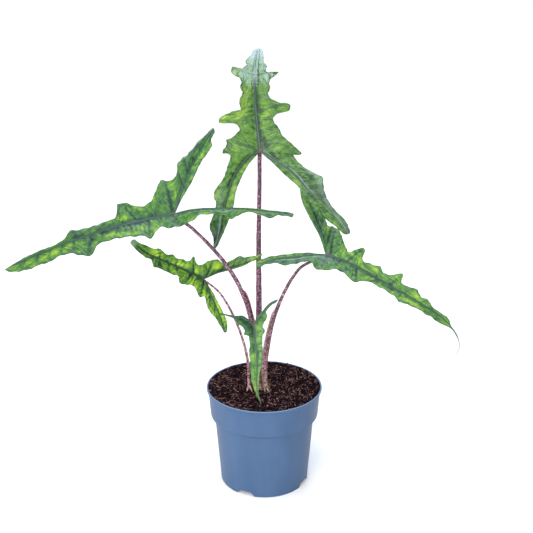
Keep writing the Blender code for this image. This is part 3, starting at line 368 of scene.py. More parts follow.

# Where each leaf's side veins run and where it is lighter or darker. A side vein is (place on the main vein,
# place at the edge, bow, strength). A patch is (place, how far out from 0 to 1, half length along in mm, half
# width across in mm, lime above 0 and dark below), and the lists of painted sheen have the same measures:
# pale blue-grey patches painted where the waxy top would reflect the bright studio, as at the tall leaf's tip
# and along some veins and edges. Places are those of the edge rows. The first two lists are for the halves up
# to the outer edge, the others for the strips along the inside of the rear lobes.
markings = {
    # On the tall leaf, the darkest patches near the rear lobes' ends, at places from -0.85 to -0.99, are
    # painted shade on the curled ends.
    "tall": {
        "left": {
            "sideVeins": [(0.9, 0.93, 0, 0.3), (0.78, 0.82, 0, 0.4), (0.7, 0.73, 0, 0.5),
                (0.61, 0.635, 0, 0.9), (0.5, 0.52, 0, 0.5), (0.41, 0.43, 0, 0.5), (0.31, 0.32, 0, 0.5),
                (0.2, 0.215, 0, 0.8), (0.1, 0.115, 0, 0.5), (0.01, 0.03, 0.01, 1), (-0.16, -0.11, 0, 0.5),
                (-0.3, -0.22, 0, 0.5), (-0.45, -0.37, 0, 0.5), (-0.6, -0.5, 0, 0.5),
                (-0.75, -0.65, 0, 0.5)],
            "patches": [(0.3, 0.5, 10, 6, 0.9), (0.47, 0.55, 12, 5, 0.7), (0.22, 0.6, 5, 9, 0.6),
                (0.22, 0.93, 5, 5, 0.7), (0.4, 0.7, 7, 4, 0.6), (0.155, 0.6, 5, 6, 0.5),
                (0.62, 0.9, 4, 5, 0.9), (0.07, 0.5, 5, 8, 0.2), (-0.44, 0.93, 4, 3, 0.9),
                (-0.27, 0.1, 26, 2.2, -1), (-0.87, 0.6, 15, 8, -1.5), (-0.4, 0.95, 3, 3, -0.6),
                (0.01, 0.93, 4, 3, -0.5), (-0.63, 0.5, 10, 5, -0.1)],
            "bloomAndSheen": [(-0.82, 0.2, 18, 1.5, 0.5), (-0.5, 0.6, 14, 4, 0.2), (0.93, 0.3, 13, 9, 0.68)],
        },
        "right": {
            "sideVeins": [(0.9, 0.9, 0, 0.3), (0.77, 0.78, 0, 0.4), (0.69, 0.69, 0, 0.4),
                (0.61, 0.62, 0, 0.9), (0.5, 0.53, 0, 0.5), (0.4, 0.44, 0, 0.5), (0.27, 0.29, 0, 1),
                (0.19, 0.2, 0, 0.5), (0.11, 0.13, 0, 0.6), (0, 0, 0.045, 1), (-0.13, -0.07, 0, 0.4),
                (-0.25, -0.2, 0, 0.6), (-0.38, -0.3, 0, 0.6), (-0.5, -0.42, 0, 0.5), (-0.63, -0.52, 0, 0.5),
                (-0.78, -0.66, 0, 0.4)],
            "patches": [(0.22, 0.25, 6, 5, 0.9), (0.35, 0.3, 8, 4, 0.4), (0.1, 0.35, 5, 5, 0.6),
                (0.05, 0.2, 9, 3, -1.1), (0.3, 0.1, 34, 1.6, -0.7), (0.03, 0.55, 5, 8, 0.3),
                (0.15, 0.55, 4, 4, 0.4), (-0.08, 0.25, 8, 2.5, -0.8), (-0.05, 0.45, 5, 6, 0.3),
                (0.31, 0.9, 4, 4, -0.3), (-0.3, 0.3, 5, 5, 0.1), (-0.92, 0.5, 14, 9, -0.8),
                (-0.99, 0.5, 4, 9, -1.6), (-0.55, 0.7, 16, 5, -0.3), (-0.45, 0.5, 40, 12, -0.65)],
            "bloomAndSheen": [(-0.3, 0.9, 12, 3, 0.5), (-0.62, 0.8, 22, 4, 0.2), (-0.9, 0.25, 14, 2, 0.35),
                (-0.5, 0.12, 50, 0.9, 0.6), (0.93, 0.3, 13, 9, 0.68)],
        },
        "leftInner": {
            "patches": [(-0.22, 0.7, 8, 3, 0.5), (-0.42, 0.6, 9, 4, 0.6), (-0.6, 0.6, 5, 3, 0.1),
                (-0.85, 0.5, 14, 5, -1)],
        },
        "rightInner": {"patches": [(-0.4, 0.6, 10, 3, 0.5), (-0.7, 0.6, 24, 4, -0.4)]},
    },
    "left": {
        "left": {
            "sideVeins": [(0.88, 0.87, 0, 0.3), (0.81, 0.79, 0, 0.6), (0.74, 0.72, 0, 0.6),
                (0.67, 0.66, 0, 0.5), (0.6, 0.6, 0, 0.6), (0.5, 0.53, 0, 1), (0.42, 0.44, 0, 0.6),
                (0.34, 0.35, 0, 0.6), (0.27, 0.27, 0, 0.5), (0.16, 0.18, 0, 1), (0.08, 0.1, 0, 0.5),
                (0.02, 0, 0, 0.8), (-0.15, -0.1, 0, 0.4), (-0.32, -0.25, 0, 0.5), (-0.46, -0.38, 0, 0.5),
                (-0.62, -0.52, 0, 0.4), (-0.76, -0.68, 0, 0.4)],
            "patches": [(0.95, 0.5, 6, 5, 0.35), (0.7, 0.4, 5, 3.5, 1.1), (0.77, 0.6, 5, 3, 0.7),
                (0.62, 0.35, 4, 4, 1.1), (0.84, 0.5, 6, 3, 0.4), (0.56, 0.55, 4, 4, 0.2),
                (0.5, 0.35, 5, 4, -0.9), (0.51, 0.85, 5, 3, -0.2), (0.36, 0.65, 7, 3, 0.8),
                (0.28, 0.8, 7, 3, 0.9), (0.21, 0.45, 4, 3, 0.8), (0.12, 0.92, 6, 2.5, 0.9),
                (0.19, 0.93, 3, 3, 0.3), (0.42, 0.2, 12, 2, -0.4), (0.3, 0.15, 20, 2, -0.5),
                (0.04, 0.3, 6, 4, -0.6), (0, 0.85, 8, 3, 0.1), (-0.05, 0.9, 6, 2.5, 0.6),
                (-0.2, 0.85, 7, 2.5, 0.6), (-0.38, 0.6, 6, 4, -0.2), (-0.64, 0.8, 6, 3, 0.2)],
            "bloomAndSheen": [(-0.5, 0.35, 50, 0.9, 0.7)],
        },
        "right": {
            "sideVeins": [(0.8, 0.8, 0, 0.3), (0.7, 0.7, 0, 0.4), (0.57, 0.6, 0, 0.8), (0.45, 0.47, 0, 0.5),
                (0.36, 0.37, 0, 0.5), (0.22, 0.27, 0, 1.3), (0.13, 0.15, 0, 0.6), (0.01, 0.015, 0, 1.5),
                (-0.13, -0.045, 0, 0.4), (-0.3, -0.17, 0, 0.6), (-0.45, -0.3, 0, 0.5),
                (-0.6, -0.45, 0, 0.5), (-0.75, -0.6, 0, 0.4)],
            "patches": [(0.29, 0.3, 6, 4, 1), (0.92, 0.5, 8, 2, 0.3), (0.17, 0.85, 4, 3, 0.8),
                (0.09, 0.9, 4, 4, 0.4), (-0.03, 0.85, 5, 5, 1), (-0.07, 0.55, 2.5, 8, 0.7),
                (0.04, 0.55, 7, 8, -0.3), (0.3, 0.1, 30, 1.5, -0.4), (0.6, 0.3, 10, 2, -0.3),
                (-0.42, 0.62, 7, 3, 0.4), (-0.28, 0.96, 4, 2.5, 0.5), (-0.8, 0.6, 12, 4, -0.45),
                (-0.45, 0.5, 40, 14, -0.45)],
            "bloomAndSheen": [(-0.5, 0.97, 25, 1.5, 0.4), (-0.95, 0.5, 6, 4, 0.4), (0.5, 0.97, 30, 1.2, 0.35)],
        },
        "leftInner": {},
        "rightInner": {
            "sideVeins": [(-0.3, -0.27, 0, 0.4), (-0.45, -0.43, 0, 0.4), (-0.6, -0.6, 0, 0.4)],
            "patches": [(-0.22, 0.8, 5, 1.6, 0.6), (-0.4, 0.7, 5, 2, 0.5), (-0.52, 0.6, 4, 2, 0.4),
                (-0.68, 0.6, 6, 2.5, 1), (-0.9, 0.5, 6, 3, -0.3)],
        },
    },
    "right": {
        "left": {
            "sideVeins": [(0.72, 0.73, 0, 0.4), (0.6, 0.63, 0, 0.5), (0.5, 0.53, 0, 0.6),
                (0.41, 0.43, 0, 0.9), (0.32, 0.32, 0, 0.6), (0.22, 0.2, 0, 0.7), (0.13, 0.16, 0, 0.9),
                (0.03, 0, 0, 1.3), (-0.05, -0.03, 0, 0.5), (-0.2, -0.1, 0, 0.5), (-0.35, -0.22, 0, 0.5),
                (-0.5, -0.37, 0, 0.5), (-0.68, -0.55, 0, 0.4)],
            "patches": [(0.2, 0.55, 5, 4, 1), (0.56, 0.55, 8, 3, 1.2), (0.3, 0.6, 4, 3, 0.7),
                (0.42, 0.75, 4, 4, 0.7), (0.35, 0.6, 3, 3, 0.5), (0.63, 0.5, 5, 3, 0.6),
                (0.11, 0.85, 4, 3, 0.5), (0.07, 0.7, 5, 5, 0.3), (-0.05, 0.93, 4, 4, 1.1),
                (0.8, 0.5, 12, 4, 0.4), (-0.02, 0.5, 3, 8, -0.4), (-0.4, 0.12, 22, 2.6, -1.5),
                (-0.32, 0.4, 12, 3, -0.7), (-0.52, 0.62, 6, 4, 0.7), (-0.75, 0.4, 7, 3, 0.4),
                (-0.15, 0.5, 16, 10, -0.35)],
        },
        "right": {
            "sideVeins": [(0.72, 0.73, 0, 0.4), (0.62, 0.63, 0, 0.4), (0.52, 0.54, 0, 0.5),
                (0.43, 0.45, 0, 0.5), (0.34, 0.34, 0, 0.5), (0.2, 0.25, 0, 1.1), (0.1, 0.11, 0, 0.6),
                (0.02, 0.02, 0, 1), (-0.2, -0.12, 0, 0.4), (-0.4, -0.3, 0, 0.4), (-0.55, -0.45, 0, 0.4)],
            "patches": [(0.3, 0.5, 6, 3, 0.9), (0.57, 0.5, 9, 3, 1.1), (0.39, 0.85, 6, 2.5, 0.4),
                (0.06, 0.15, 7, 4, -0.7), (0.18, 0.6, 4, 5, -0.6), (0.3, 0.12, 30, 1.6, -0.4),
                (0.13, 0.8, 6, 4, 0.1), (0.8, 0.5, 14, 4, 0.6), (-0.5, 0.5, 40, 9, -0.45)],
            "bloomAndSheen": [(-0.5, 0.3, 34, 0.8, 0.8), (0.02, 0.2, 6, 4, 0.12)],
        },
        "leftInner": {"patches": [(-0.35, 0.4, 18, 3, -1), (-0.8, 0.5, 9, 3, 0.6)]},
        "rightInner": {},
    },
    "low": {
        "left": {
            "sideVeins": [(0.8, 0.82, 0, 0.5), (0.68, 0.7, 0, 0.8), (0.58, 0.6, 0, 0.5),
                (0.48, 0.5, 0, 0.8), (0.38, 0.4, 0, 0.5), (0.17, 0.3, 0, 1.2), (0.08, 0.14, 0, 0.5),
                (0, 0, 0, 1.2), (-0.15, -0.1, 0, 0.5), (-0.3, -0.24, 0, 0.9), (-0.5, -0.42, 0, 0.8)],
            "patches": [(0.3, 0.4, 4, 3, 0.7), (0.09, 0.72, 4, 4, 1.1), (0.2, 0.8, 4, 3, 0.5),
                (0.36, 0.8, 5, 3, 0.5), (0.45, 0.6, 4, 3, 0.3), (-0.05, 0.85, 3, 4, 1),
                (-0.25, 0.6, 6, 4, 0.5), (-0.45, 0.85, 6, 3, 0.7), (0.04, 0.15, 4, 2, -0.8),
                (0.6, 0.5, 8, 3, -0.2), (-0.15, 0.15, 10, 2, -0.6)],
        },
        "right": {
            "sideVeins": [(0.75, 0.78, 0, 0.5), (0.6, 0.63, 0, 0.9), (0.5, 0.52, 0, 0.5),
                (0.4, 0.41, 0, 0.8), (0.3, 0.31, 0, 0.5), (0.155, 0.17, 0, 1.3), (0.07, 0.08, 0, 0.5),
                (-0.02, -0.015, 0, 1.5), (-0.1, -0.06, 0, 0.5), (-0.3, -0.2, 0, 0.9), (-0.5, -0.4, 0, 0.8),
                (-0.7, -0.6, 0, 0.5)],
            "patches": [(0.7, 0.5, 5, 3, 0.9), (0.63, 0.5, 4, 3, 0.7), (0.42, 0.5, 4, 4, 0.4),
                (0.35, 0.4, 4, 3, 0.9), (0.28, 0.45, 4, 4, 0.6), (0.12, 0.3, 4, 4, 0.8),
                (0.08, 0.6, 4, 5, 0.5), (-0.08, 0.75, 4, 5, 1.2), (-0.3, 0.1, 16, 2, -0.7),
                (-0.15, 0.2, 7, 3, -0.8), (-0.45, 0.5, 6, 3, 0.3), (-0.82, 0.5, 7, 3, 0.6),
                (0, 0.6, 3, 4, 0.2), (-0.6, 0.5, 20, 8, -0.3)],
        },
        "leftInner": {"patches": [(-0.4, 0.6, 8, 2, 0.6), (-0.68, 0.6, 10, 3, 0.8)]},
        "rightInner": {"patches": [(-0.5, 0.5, 20, 2, 0.1)]},
    },
    "front": {
        "left": {
            "sideVeins": [(0.6, 0.62, 0, 0.3), (0.5, 0.52, 0, 0.5), (0.36, 0.38, 0, 0.9),
                (0.26, 0.28, 0, 1), (0.18, 0.2, 0, 0.4), (0.1, 0.12, 0, 1), (0, 0.02, 0, 0.6),
                (-0.2, -0.12, 0, 0.5)],
            "patches": [(0.03, 0.5, 6, 4, 0.8), (0.2, 0.5, 7, 4, 0.6), (0.31, 0.5, 4, 4, 0.4),
                (0.43, 0.5, 5, 4, 0.3), (0.6, 0.6, 9, 3, 0.8), (-0.2, 0.3, 8, 3, -0.4),
                (0.75, 0.5, 9, 4, 0.7), (0.9, 0.5, 12, 4, 0.9)],
        },
        "right": {
            "sideVeins": [(0.6, 0.62, 0, 0.3), (0.5, 0.5, 0, 0.7), (0.33, 0.34, 0, 0.7),
                (0.24, 0.25, 0, 0.5), (0.1, 0.13, 0, 0.9), (0.02, 0.04, 0, 0.6), (-0.15, -0.1, 0, 0.5),
                (-0.3, -0.22, 0, 0.5)],
            "patches": [(0.41, 0.5, 6, 4, 1.1), (0.05, 0.3, 9, 4, -0.6), (0.25, 0.3, 8, 3, -0.5),
                (0.58, 0.5, 7, 3, 0.7), (-0.1, 0.4, 7, 4, -0.6), (0.12, 0.8, 4, 3, 0.1),
                (0, 0.5, 8, 9, -0.5), (-0.35, 0.5, 9, 5, -0.5), (0.75, 0.5, 9, 4, 0.7),
                (0.9, 0.5, 12, 4, 0.9)],
        },
        "leftInner": {}, "rightInner": {"patches": [(-0.3, 0.5, 9, 3, -0.5)]},
    },
}

# What a user may change on the blades, in mm. Places and shares of a vein's length have no unit. A noise is
# (height, size of its waves, seed). The ribs lean by (least, more at the join, place where that has faded),
# on a rear lobe and along the midrib.
blade = {
    "frontStep": 0.936, "rearStep": 0.828, "rows": 26, "rowPower": 1.35,
    "thickness": 0.62, "edgeThinner": 0.3,
    "veinHalfWidth": {"tall": (1.9, 0.6), "left": (1.55, 0.6), "right": (1.2, 0.5), "low": (1.3, 0.75),
                      "front": (1.2, 0.5)},
    "ribSpacing": {"tall": 2.9, "left": 5.0, "right": 4.8, "low": 4.4, "front": 3.6},
    "besideVein": {"tall": 0.35, "left": 0.45, "right": 0.25, "low": 0.1, "front": 0.2},
    "dryFrom": {"tall": 0.97, "left": 0.97, "right": 0.86, "low": 0.9, "front": 0.94}, "dryOver": 0.06,
    "cornerRound": {"sharp": 0.004, "soft": 0.012}, "faceTurnsOver": 0.16, "endFade": 12,
    "ridge": 0.35, "furrow": 0.3, "furrowAt": 2.2, "furrowWidth": 0.8, "keel": 1.1, "ribHeight": 0.08,
    "sideVeinDip": 0.3, "dipWidth": 1.2, "sideVeinWidth": 1.3, "crestWidth": 0.55, "crestStrength": 0.8,
    "marginWidth": 0.8, "joinReach": 3.0, "ruffle": 0.6, "ruffleLength": 13.0, "ruffleWander": (2, 60, 5),
    "undulation": (0.4, 17, 9), "crinkle": (0.4, 5.0, 31), "innerCrinkle": 0.35,
    "ribLean": ((0.2, 0.6, 0.12), (0.15, 0.65, 0.3)), "ribWander": ((1.8, 24, 17), (0.8, 8, 18)),
    "ribPatches": (0.8, 15, 19), "samples": 3000,
    "calmFrom": 0.6, "calmOver": 0.2, "calm": {"tall": 0.8},
}

# What the mesh of a blade carries for its finish: turns counts the ribs, across is the distance from the main
# vein in half widths, lime goes from dark below 0 to light above it, and the others are shares from 0 to 1
leafMeasures = ("turns", "ribbed", "across", "sideVein", "lime", "margin", "join", "crest", "calm", "dry",
                "bloomAndSheen")


# A main vein as arrays: even points, the way it runs, the way the upper face looks, and run x face, its side
def mainVein(points, facingStart, facingEnd, steps=80):
    point = evenly(smoothCurve(points, 400), steps + 1)
    run = unit(np.gradient(point, axis=0))
    f = np.linspace(0, 1, steps + 1)[:, None]
    face = unit(facingStart) * (1 - f) + unit(facingEnd) * f
    face = unit(face - (face * run).sum(axis=1, keepdims=True) * run)
    return {"point": point, "run": run, "face": face, "side": np.cross(run, face)}


# The midrib and the rear vein of one half of a leaf
def halfVeins(leaf, side):
    facing, rear = leaf["facing"], side + "Vein"
    return [mainVein(leaf[vein], facing[side], facing[vein]) for vein in ("midrib", rear)]


# One of a vein's arrays at shares s of its length, straight between its rows
def readVein(rows, s):
    place = np.clip(s, 0, 1) * (len(rows) - 1)
    i = np.minimum(place.astype(int), len(rows) - 2)
    f = (place - i)[..., None]
    return rows[i] * (1 - f) + rows[i + 1] * f


# An array of the two veins at places s: the rear vein's where s is below 0, and the midrib's from there on
def readBoth(veins, key, s):
    middle, rear = veins
    return np.where((s < 0)[:, None], readVein(rear[key], -s), readVein(middle[key], s))


# A smooth curve of values over rising knots, each slope taken from the two neighbours
def hermite(knots, values, s):
    slope = np.gradient(values, knots, axis=0)
    i = np.clip(np.searchsorted(knots, s, side="right") - 1, 0, len(knots) - 2)
    width = (knots[i + 1] - knots[i])[:, None]
    f = (s - knots[i])[:, None] / width
    return ((1 + 2 * f) * (1 - f) ** 2 * values[i] + f * (1 - f) ** 2 * width * slope[i]
            + f * f * (3 - 2 * f) * values[i + 1] + f * f * (f - 1) * width * slope[i + 1])


# The blade's edge at places s from 1 at the tip to -1 at a rear lobe's end: foot on its vein, plus so far out
# along the vein's side and so far ahead along its run, and a smooth curve between the rows
def edgeAt(leaf, veins, strip, s):
    inner = strip.endswith("Inner")
    hand = 1 if strip.startswith("right") else -1
    rows = leaf[strip] if inner else leaf[strip + "Edge"]
    along, out, ahead = np.array(rows, float)[::-1].T
    turn = np.where(along < 0, -hand, hand) * (-1 if inner else 1)
    places = (readBoth(veins, "point", along) + (turn * out)[:, None] * readBoth(veins, "side", along)
              + ahead[:, None] * readBoth(veins, "run", along))
    middle, rear = [vein["point"] for vein in veins]
    knots = np.r_[-1, along, 0 if inner else 1]
    corners = np.vstack([rear[-1:], places, middle[:1] if inner else middle[-1:]])
    # the corners are rounded: a mean of the curve at three places, which close up towards its two ends
    reach = np.minimum(blade["cornerRound"][leaf["round"]], np.minimum(s - knots[0], knots[-1] - s).clip(0))
    own, beside = 0.36, 0.32
    return (own * hermite(knots, corners, s) + beside * hermite(knots, corners, s - reach)
            + beside * hermite(knots, corners, s + reach))


# Places from start to end, no further apart than a step along any of the curves
def spacedPlaces(start, end, curves, step):
    s = np.linspace(start, end, blade["samples"])
    gaps = [np.linalg.norm(np.diff(curve(s), axis=0), axis=1) for curve in curves]
    run = np.r_[0, np.cumsum(np.max(gaps, axis=0))]
    return np.interp(np.linspace(0, run[-1], math.ceil(run[-1] / step) + 1), run, s)


# A bell of height 1 where x is 0, which has sunk to 0.37 at the width
def bell(x, width):
    return np.exp(-(x / width) ** 2)


# One strip of the blade on a grid of places s by rows v: foot + reach v + face (rise d - bendBack d^2), where
# d is the distance out from the vein. With it come the measures that the markings and the relief need.
def bladeStrip(leafName, strip, veins, s):
    leaf, marks = leaves[leafName], markings[leafName][strip]
    inner = strip.endswith("Inner")
    v = np.linspace(0, 1, blade["rows"] + 1) ** blade["rowPower"]
    foot, edge = readBoth(veins, "point", s), edgeAt(leaf, veins, strip, s)
    turn = np.ones(len(s)) if inner else np.clip(0.5 - s / blade["faceTurnsOver"], 0, 1)
    turn = (turn * turn * (3 - 2 * turn))[:, None]
    face = unit(readVein(veins[0]["face"], s) * (1 - turn) + readVein(veins[1]["face"], -s) * turn)
    reach = edge - foot
    width = np.linalg.norm(reach, axis=1)[:, None]
    d = width * v
    share = np.abs(s)[:, None]
    ends = np.clip((1 - share) * blade["endFade"], 0, 1)
    # the edge wanders in and out a little, more the nearer it is
    depth, length, seed = blade["crinkle"]
    crinkle = softNoise(edge, length, seed, 24)[:, None] * depth * v**4 * ends
    crinkle *= (blade["innerCrinkle"] if inner else 1) * np.clip(width / 4, 0, 1) / np.maximum(width, 1)
    rise = leaf["rise"] * d - leaf["bendBack"] * d * d
    point = foot[:, None] + reach[:, None] * (v + crinkle)[..., None] + face[:, None] * rise[..., None]
    rolling = lambda height, length, seed: height * softNoise(point, length, seed)

    # lengths along the vein and along the edge, from the join, read at any place
    dense = np.linspace(-1, 0 if inner else 1, blade["samples"] + 1)
    curves = readBoth(veins, "point", dense), edgeAt(leaf, veins, strip, dense)
    onVein, onEdge = [run - np.interp(0, dense, run) for run in map(runLength, curves)]
    lengthAt = lambda place: (1 - v) * np.interp(place, dense, onVein) + v * np.interp(place, dense, onEdge)
    along = lengthAt(s[:, None] + 0 * v)

    sideVein, dip, crest, lime, bloomAndSheen = [np.zeros_like(d) for _ in range(5)]
    for start, end, bow, strength in marks.get("sideVeins", []):
        away = along - lengthAt(start + (end - start) * v + bow * 4 * v * (1 - v))
        fade, full = np.clip(1.1 - v, 0, 1), min(strength, 1)
        faint = np.clip(1.25 - v, 0, 1) * strength
        sideVein = np.maximum(sideVein, faint * bell(away, blade["sideVeinWidth"]))
        if strength >= blade["crestStrength"]:
            crest = np.maximum(crest, fade * full * bell(away, blade["crestWidth"]))
        dip += full * fade * bell(away, blade["dipWidth"])
    # lime and dark patches, and the pale patches of painted sheen
    for total, spots in ((lime, "patches"), (bloomAndSheen, "bloomAndSheen")):
        for place, across, halfLong, halfWide, amount in marks.get(spots, []):
            away, out = along - lengthAt(place + 0 * v), (v - across) * width
            total += amount * bell(away, halfLong) * bell(out, halfWide)
    # the main vein narrows towards its end, and the tissue beside it is darker: partly its own blue-green,
    # and partly painted shade in the furrow beside the vein
    wide, slim = blade["veinHalfWidth"][leafName]
    half = slim + (wide - slim) * (1 - share) ** np.where(s < 0, 2, 1)[:, None]
    near = bell(d, half)
    lime -= blade["besideVein"][leafName] * bell(d, 3 * half)
    # ribs: turns of a wave along the leaf, which leans to the tip as it goes out, most near the join
    rearLean, midribLean = [least + more * bell(s, over) for least, more, over in blade["ribLean"]]
    lean = np.where(s < 0, rearLean, midribLean)[:, None]
    wander = sum(rolling(*noise) for noise in blade["ribWander"])
    turns = (along + wander - lean * d) / blade["ribSpacing"][leafName]
    ribbed = np.clip(0.2 + 0.4 * (s > 0)[:, None] + rolling(*blade["ribPatches"]), 0, 1)
    ribbed = ribbed * np.clip(d / 1.5 - half * 0.6, 0, 1) * (1 - 0.5 * v**3)
    quiet = blade["calm"].get(leafName, 0)
    calm = 1 - quiet * np.clip((s - blade["calmFrom"]) / blade["calmOver"], 0, 1)[:, None] + 0 * d
    wave = np.sin(fullTurn * along / blade["ruffleLength"] + len(strip) + rolling(*blade["ruffleWander"]))
    relief = calm * (blade["ribHeight"] * ribbed * np.cos(fullTurn * turns)
                     - blade["sideVeinDip"] * dip * np.clip(d / 3, 0, 1)
                     + blade["ruffle"] * wave * v**3 * np.clip(width / 12, 0, 1)
                     + rolling(*blade["undulation"]) * np.clip(d / 4, 0, 1))
    furrow = bell(d - blade["furrowAt"] * half, blade["furrowWidth"] * half)
    hand = -1 if strip in ("left", "rightInner") else 1
    arrays = {"turns": turns, "ribbed": ribbed, "across": hand * d / half, "sideVein": sideVein, "lime": lime,
              "crest": crest, "bloomAndSheen": bloomAndSheen, "calm": calm,
              "join": np.exp(-(np.abs(along) + d) / blade["joinReach"]),
              "dry": np.clip((s - blade["dryFrom"][leafName]) / blade["dryOver"], 0, 1)[:, None] + 0 * d,
              "margin": bell((1 - v) * width, blade["marginWidth"]), "relief": relief * ends,
              "ridge": (blade["ridge"] * near - blade["furrow"] * furrow) * ends,
              "keel": blade["keel"] * near * (1 - 0.7 * share) * ends,
              "shell": blade["thickness"] - blade["edgeThinner"] * v**3 + 0 * d}
    point = point.reshape(-1, 3)
    triangles = gridTriangles(len(s), len(v))
    if areaNormals(point, triangles).sum(axis=0) @ face.mean(axis=0) < 0:
        triangles = triangles[:, ::-1]
    return point, triangles, {key: values.reshape(-1) for key, values in arrays.items()}


# A blade: four strips welded where they meet, then two skins set apart along the normals and joined at the
# edge. The upper skin carries the veins' ridge and furrows, the lower one the keel, and both dip and ruffle.
def makeBlade(name, upperFinish, lowerFinish):
    leaf = leaves[name]
    veins = {side: halfVeins(leaf, side) for side in ("left", "right")}
    onEdge = lambda side, strip: lambda s: edgeAt(leaf, veins[side], strip, s)
    onVein = lambda vein: lambda s: readVein(vein["point"], np.abs(s))
    front = spacedPlaces(1, 0, [onVein(veins["left"][0]), onEdge("left", "left"), onEdge("right", "right")],
                         blade["frontStep"])
    strips = []
    for side in ("left", "right"):
        back = spacedPlaces(0, -1, [onVein(veins[side][1]), onEdge(side, side), onEdge(side, side + "Inner")],
                            blade["rearStep"])
        strips.append(bladeStrip(name, side, veins[side], np.r_[front, back[1:]]))
        strips.append(bladeStrip(name, side + "Inner", veins[side], back))
    points, triangles = joined([strip[:2] for strip in strips])
    kept, triangles = welded(points, triangles, 3)
    points = points[kept]
    arrays = {key: np.concatenate([strip[2][key] for strip in strips])[kept] for key in strips[0][2]}
    normal = pointNormals(points, triangles)
    shell, ridge, keel, relief = [arrays[key][:, None] * normal
                                  for key in ("shell", "ridge", "keel", "relief")]
    upper, lower = points + relief + shell / 2 + ridge, points + relief - shell / 2 - keel
    skins, faces = twoSkins(upper, lower, triangles)
    finishOf = np.zeros(len(faces))
    finishOf[len(triangles):2 * len(triangles)] = 1
    carried = {key: np.tile(arrays[key], 2) for key in leafMeasures}
    piece = meshPiece("leaf_blade_" + name, skins, faces, [upperFinish, lowerFinish], finishOf, carried)
    dress(piece, "blade_" + name)


# Living alocasia leaf, upper side: a thin waxy skin over wet green tissue. The eye gets a soft sheen at low
# angles, lime quilting between dark blue-green veins, fine ribs and slate-coloured main veins. IOR is near
# that of plant wax, and the roughness changes a little over the blade.
def waxyLeaf(name, colours):
    finish, shader, node = newFinish("waxy_leaf_" + name, {"Roughness": 0.3, "IOR": 1.4,
                                                           "Specular IOR Level": 0.36})
    place = node("TexCoord", output="Object")
    carried = {key: node("Attribute", output="Fac", attribute_name=key) for key in leafMeasures}
    # blotches of tissue 4 mm across, a mottle of 1.3 mm, and broad clouds of 16 mm
    blotch, mottle, broad = [
        node("TexNoise", {"Vector": place, "Scale": 1 / (across * mm), "Detail": detail, "Roughness": rough})
        for across, detail, rough in ((4.0, 3.0, 0.6), (1.3, 2.0, 0.55), (16.0, 2.0, 0.5))]
    # ribs: 1 in the middle between two fine veins, and a thin dark line along each vein
    turned = node("Math", [blotch, 0.3, carried["turns"]], **timesPlus)
    between = node("Math", [node("Math", [turned, fullTurn], **times)], **cosine)
    line = node("MapRange", {"Value": between, "From Min": -0.35, "From Max": -0.95}, **eased)
    line = node("Math", [line, carried["ribbed"]], **times)
    swell = node("Math", [node("Math", [between, carried["ribbed"]], **times), 0.5], **times)
    # streaks of lime that lie along the ribs: a noise that runs fast from rib to rib and slowly outwards
    lying = node("CombineXYZ", [carried["turns"], node("Math", [carried["across"], 0.3], **times)])
    streak = node("TexNoise", {"Vector": lying, "Scale": 0.65, "Detail": 2.0, "Roughness": 0.5})
    # how light the tissue is: the patches, then each noise less its mean, then ribs, veins and margin
    light = node("Math", [carried["lime"], 0.3, colours["level"]], **timesPlus)
    for noise, weight in ((blotch, colours["blotch"]), (mottle, 0.5), (broad, 0.35),
                          (streak, colours["streak"])):
        light = node("Math", [node("Math", [noise, 0.5], **minus), weight, light], **timesPlus)
    for measure, weight in ((swell, colours["rib"]), (line, -0.4 * colours["rib"]),
                            (carried["sideVein"], -colours["sideVein"]), (carried["margin"], -0.2)):
        light = node("Math", [measure, weight, light], **timesPlus)
    colour = node("ValToRGB", [light], stops=colours["tissue"])
    crest, dry = [node("Math", [carried[key], colours[key][0]], **times) for key in ("crest", "dry")]
    colour = node("Mix", {"Factor": crest, 6: colour, 7: linear(colours["crest"][1])}, **blend)
    # main veins, from their left side to their right: dark, slate with a pale centre line, dark. The slate is
    # the vein's own colour, and the pale centre line is a painted highlight along the vein's ridge. Purple at
    # the join.
    spread = node("MapRange", {"Value": carried["across"], "From Min": -1.6, "From Max": 1.6})
    vein = node("ValToRGB", [spread], stops=colours["vein"])
    vein = node("Mix", {"Factor": carried["join"], 6: vein, 7: linear("#5a4448")}, **blend)
    away = node("Math", [carried["across"]], **absolute)
    onVein = node("MapRange", {"Value": away, "From Min": 1.5, "From Max": 0.75}, **eased)
    onVein = node("Math", [onVein, node("Math", [carried["calm"], 0.6, 0.33], **timesPlus)], **times)
    colour = node("Mix", {"Factor": onVein, 6: colour, 7: vein}, **blend)
    # painted sheen: pale blue-grey patches stand in for reflections of the bright studio on some parts,
    # broken up in specks, and the tip dries out to a pale point
    paintedSheen = node("Math", [carried["bloomAndSheen"], node("Math", [mottle, 1.2, 0.4], **timesPlus)], **times)
    for factor, shade in ((paintedSheen, "#84959a"), (dry, colours["dry"][1])):
        colour = node("Mix", {"Factor": factor, 6: colour, 7: linear(shade)}, **blend)
    low, high = colours["rough"]
    rough = node("MapRange", {"Value": broad, "From Min": 0.3, "From Max": 0.7,
                              "To Min": low, "To Max": high})
    # the skin swells between the fine veins by more than the mesh does, and is pebbled
    height = node("Math", [node("Math", [swell, 0.5], **times), node("Math", [mottle, 0.6], **times)], **plus)
    height = node("Math", [height, node("Math", [blotch, 0.8], **times)], **plus)
    height = node("Math", [height, carried["calm"]], **times)
    bump = node("Bump", {"Height": height, "Strength": 0.9, "Distance": 0.24 * mm})
    feed(shader, {"Base Color": colour, "Roughness": rough, "Normal": bump})
    return finish


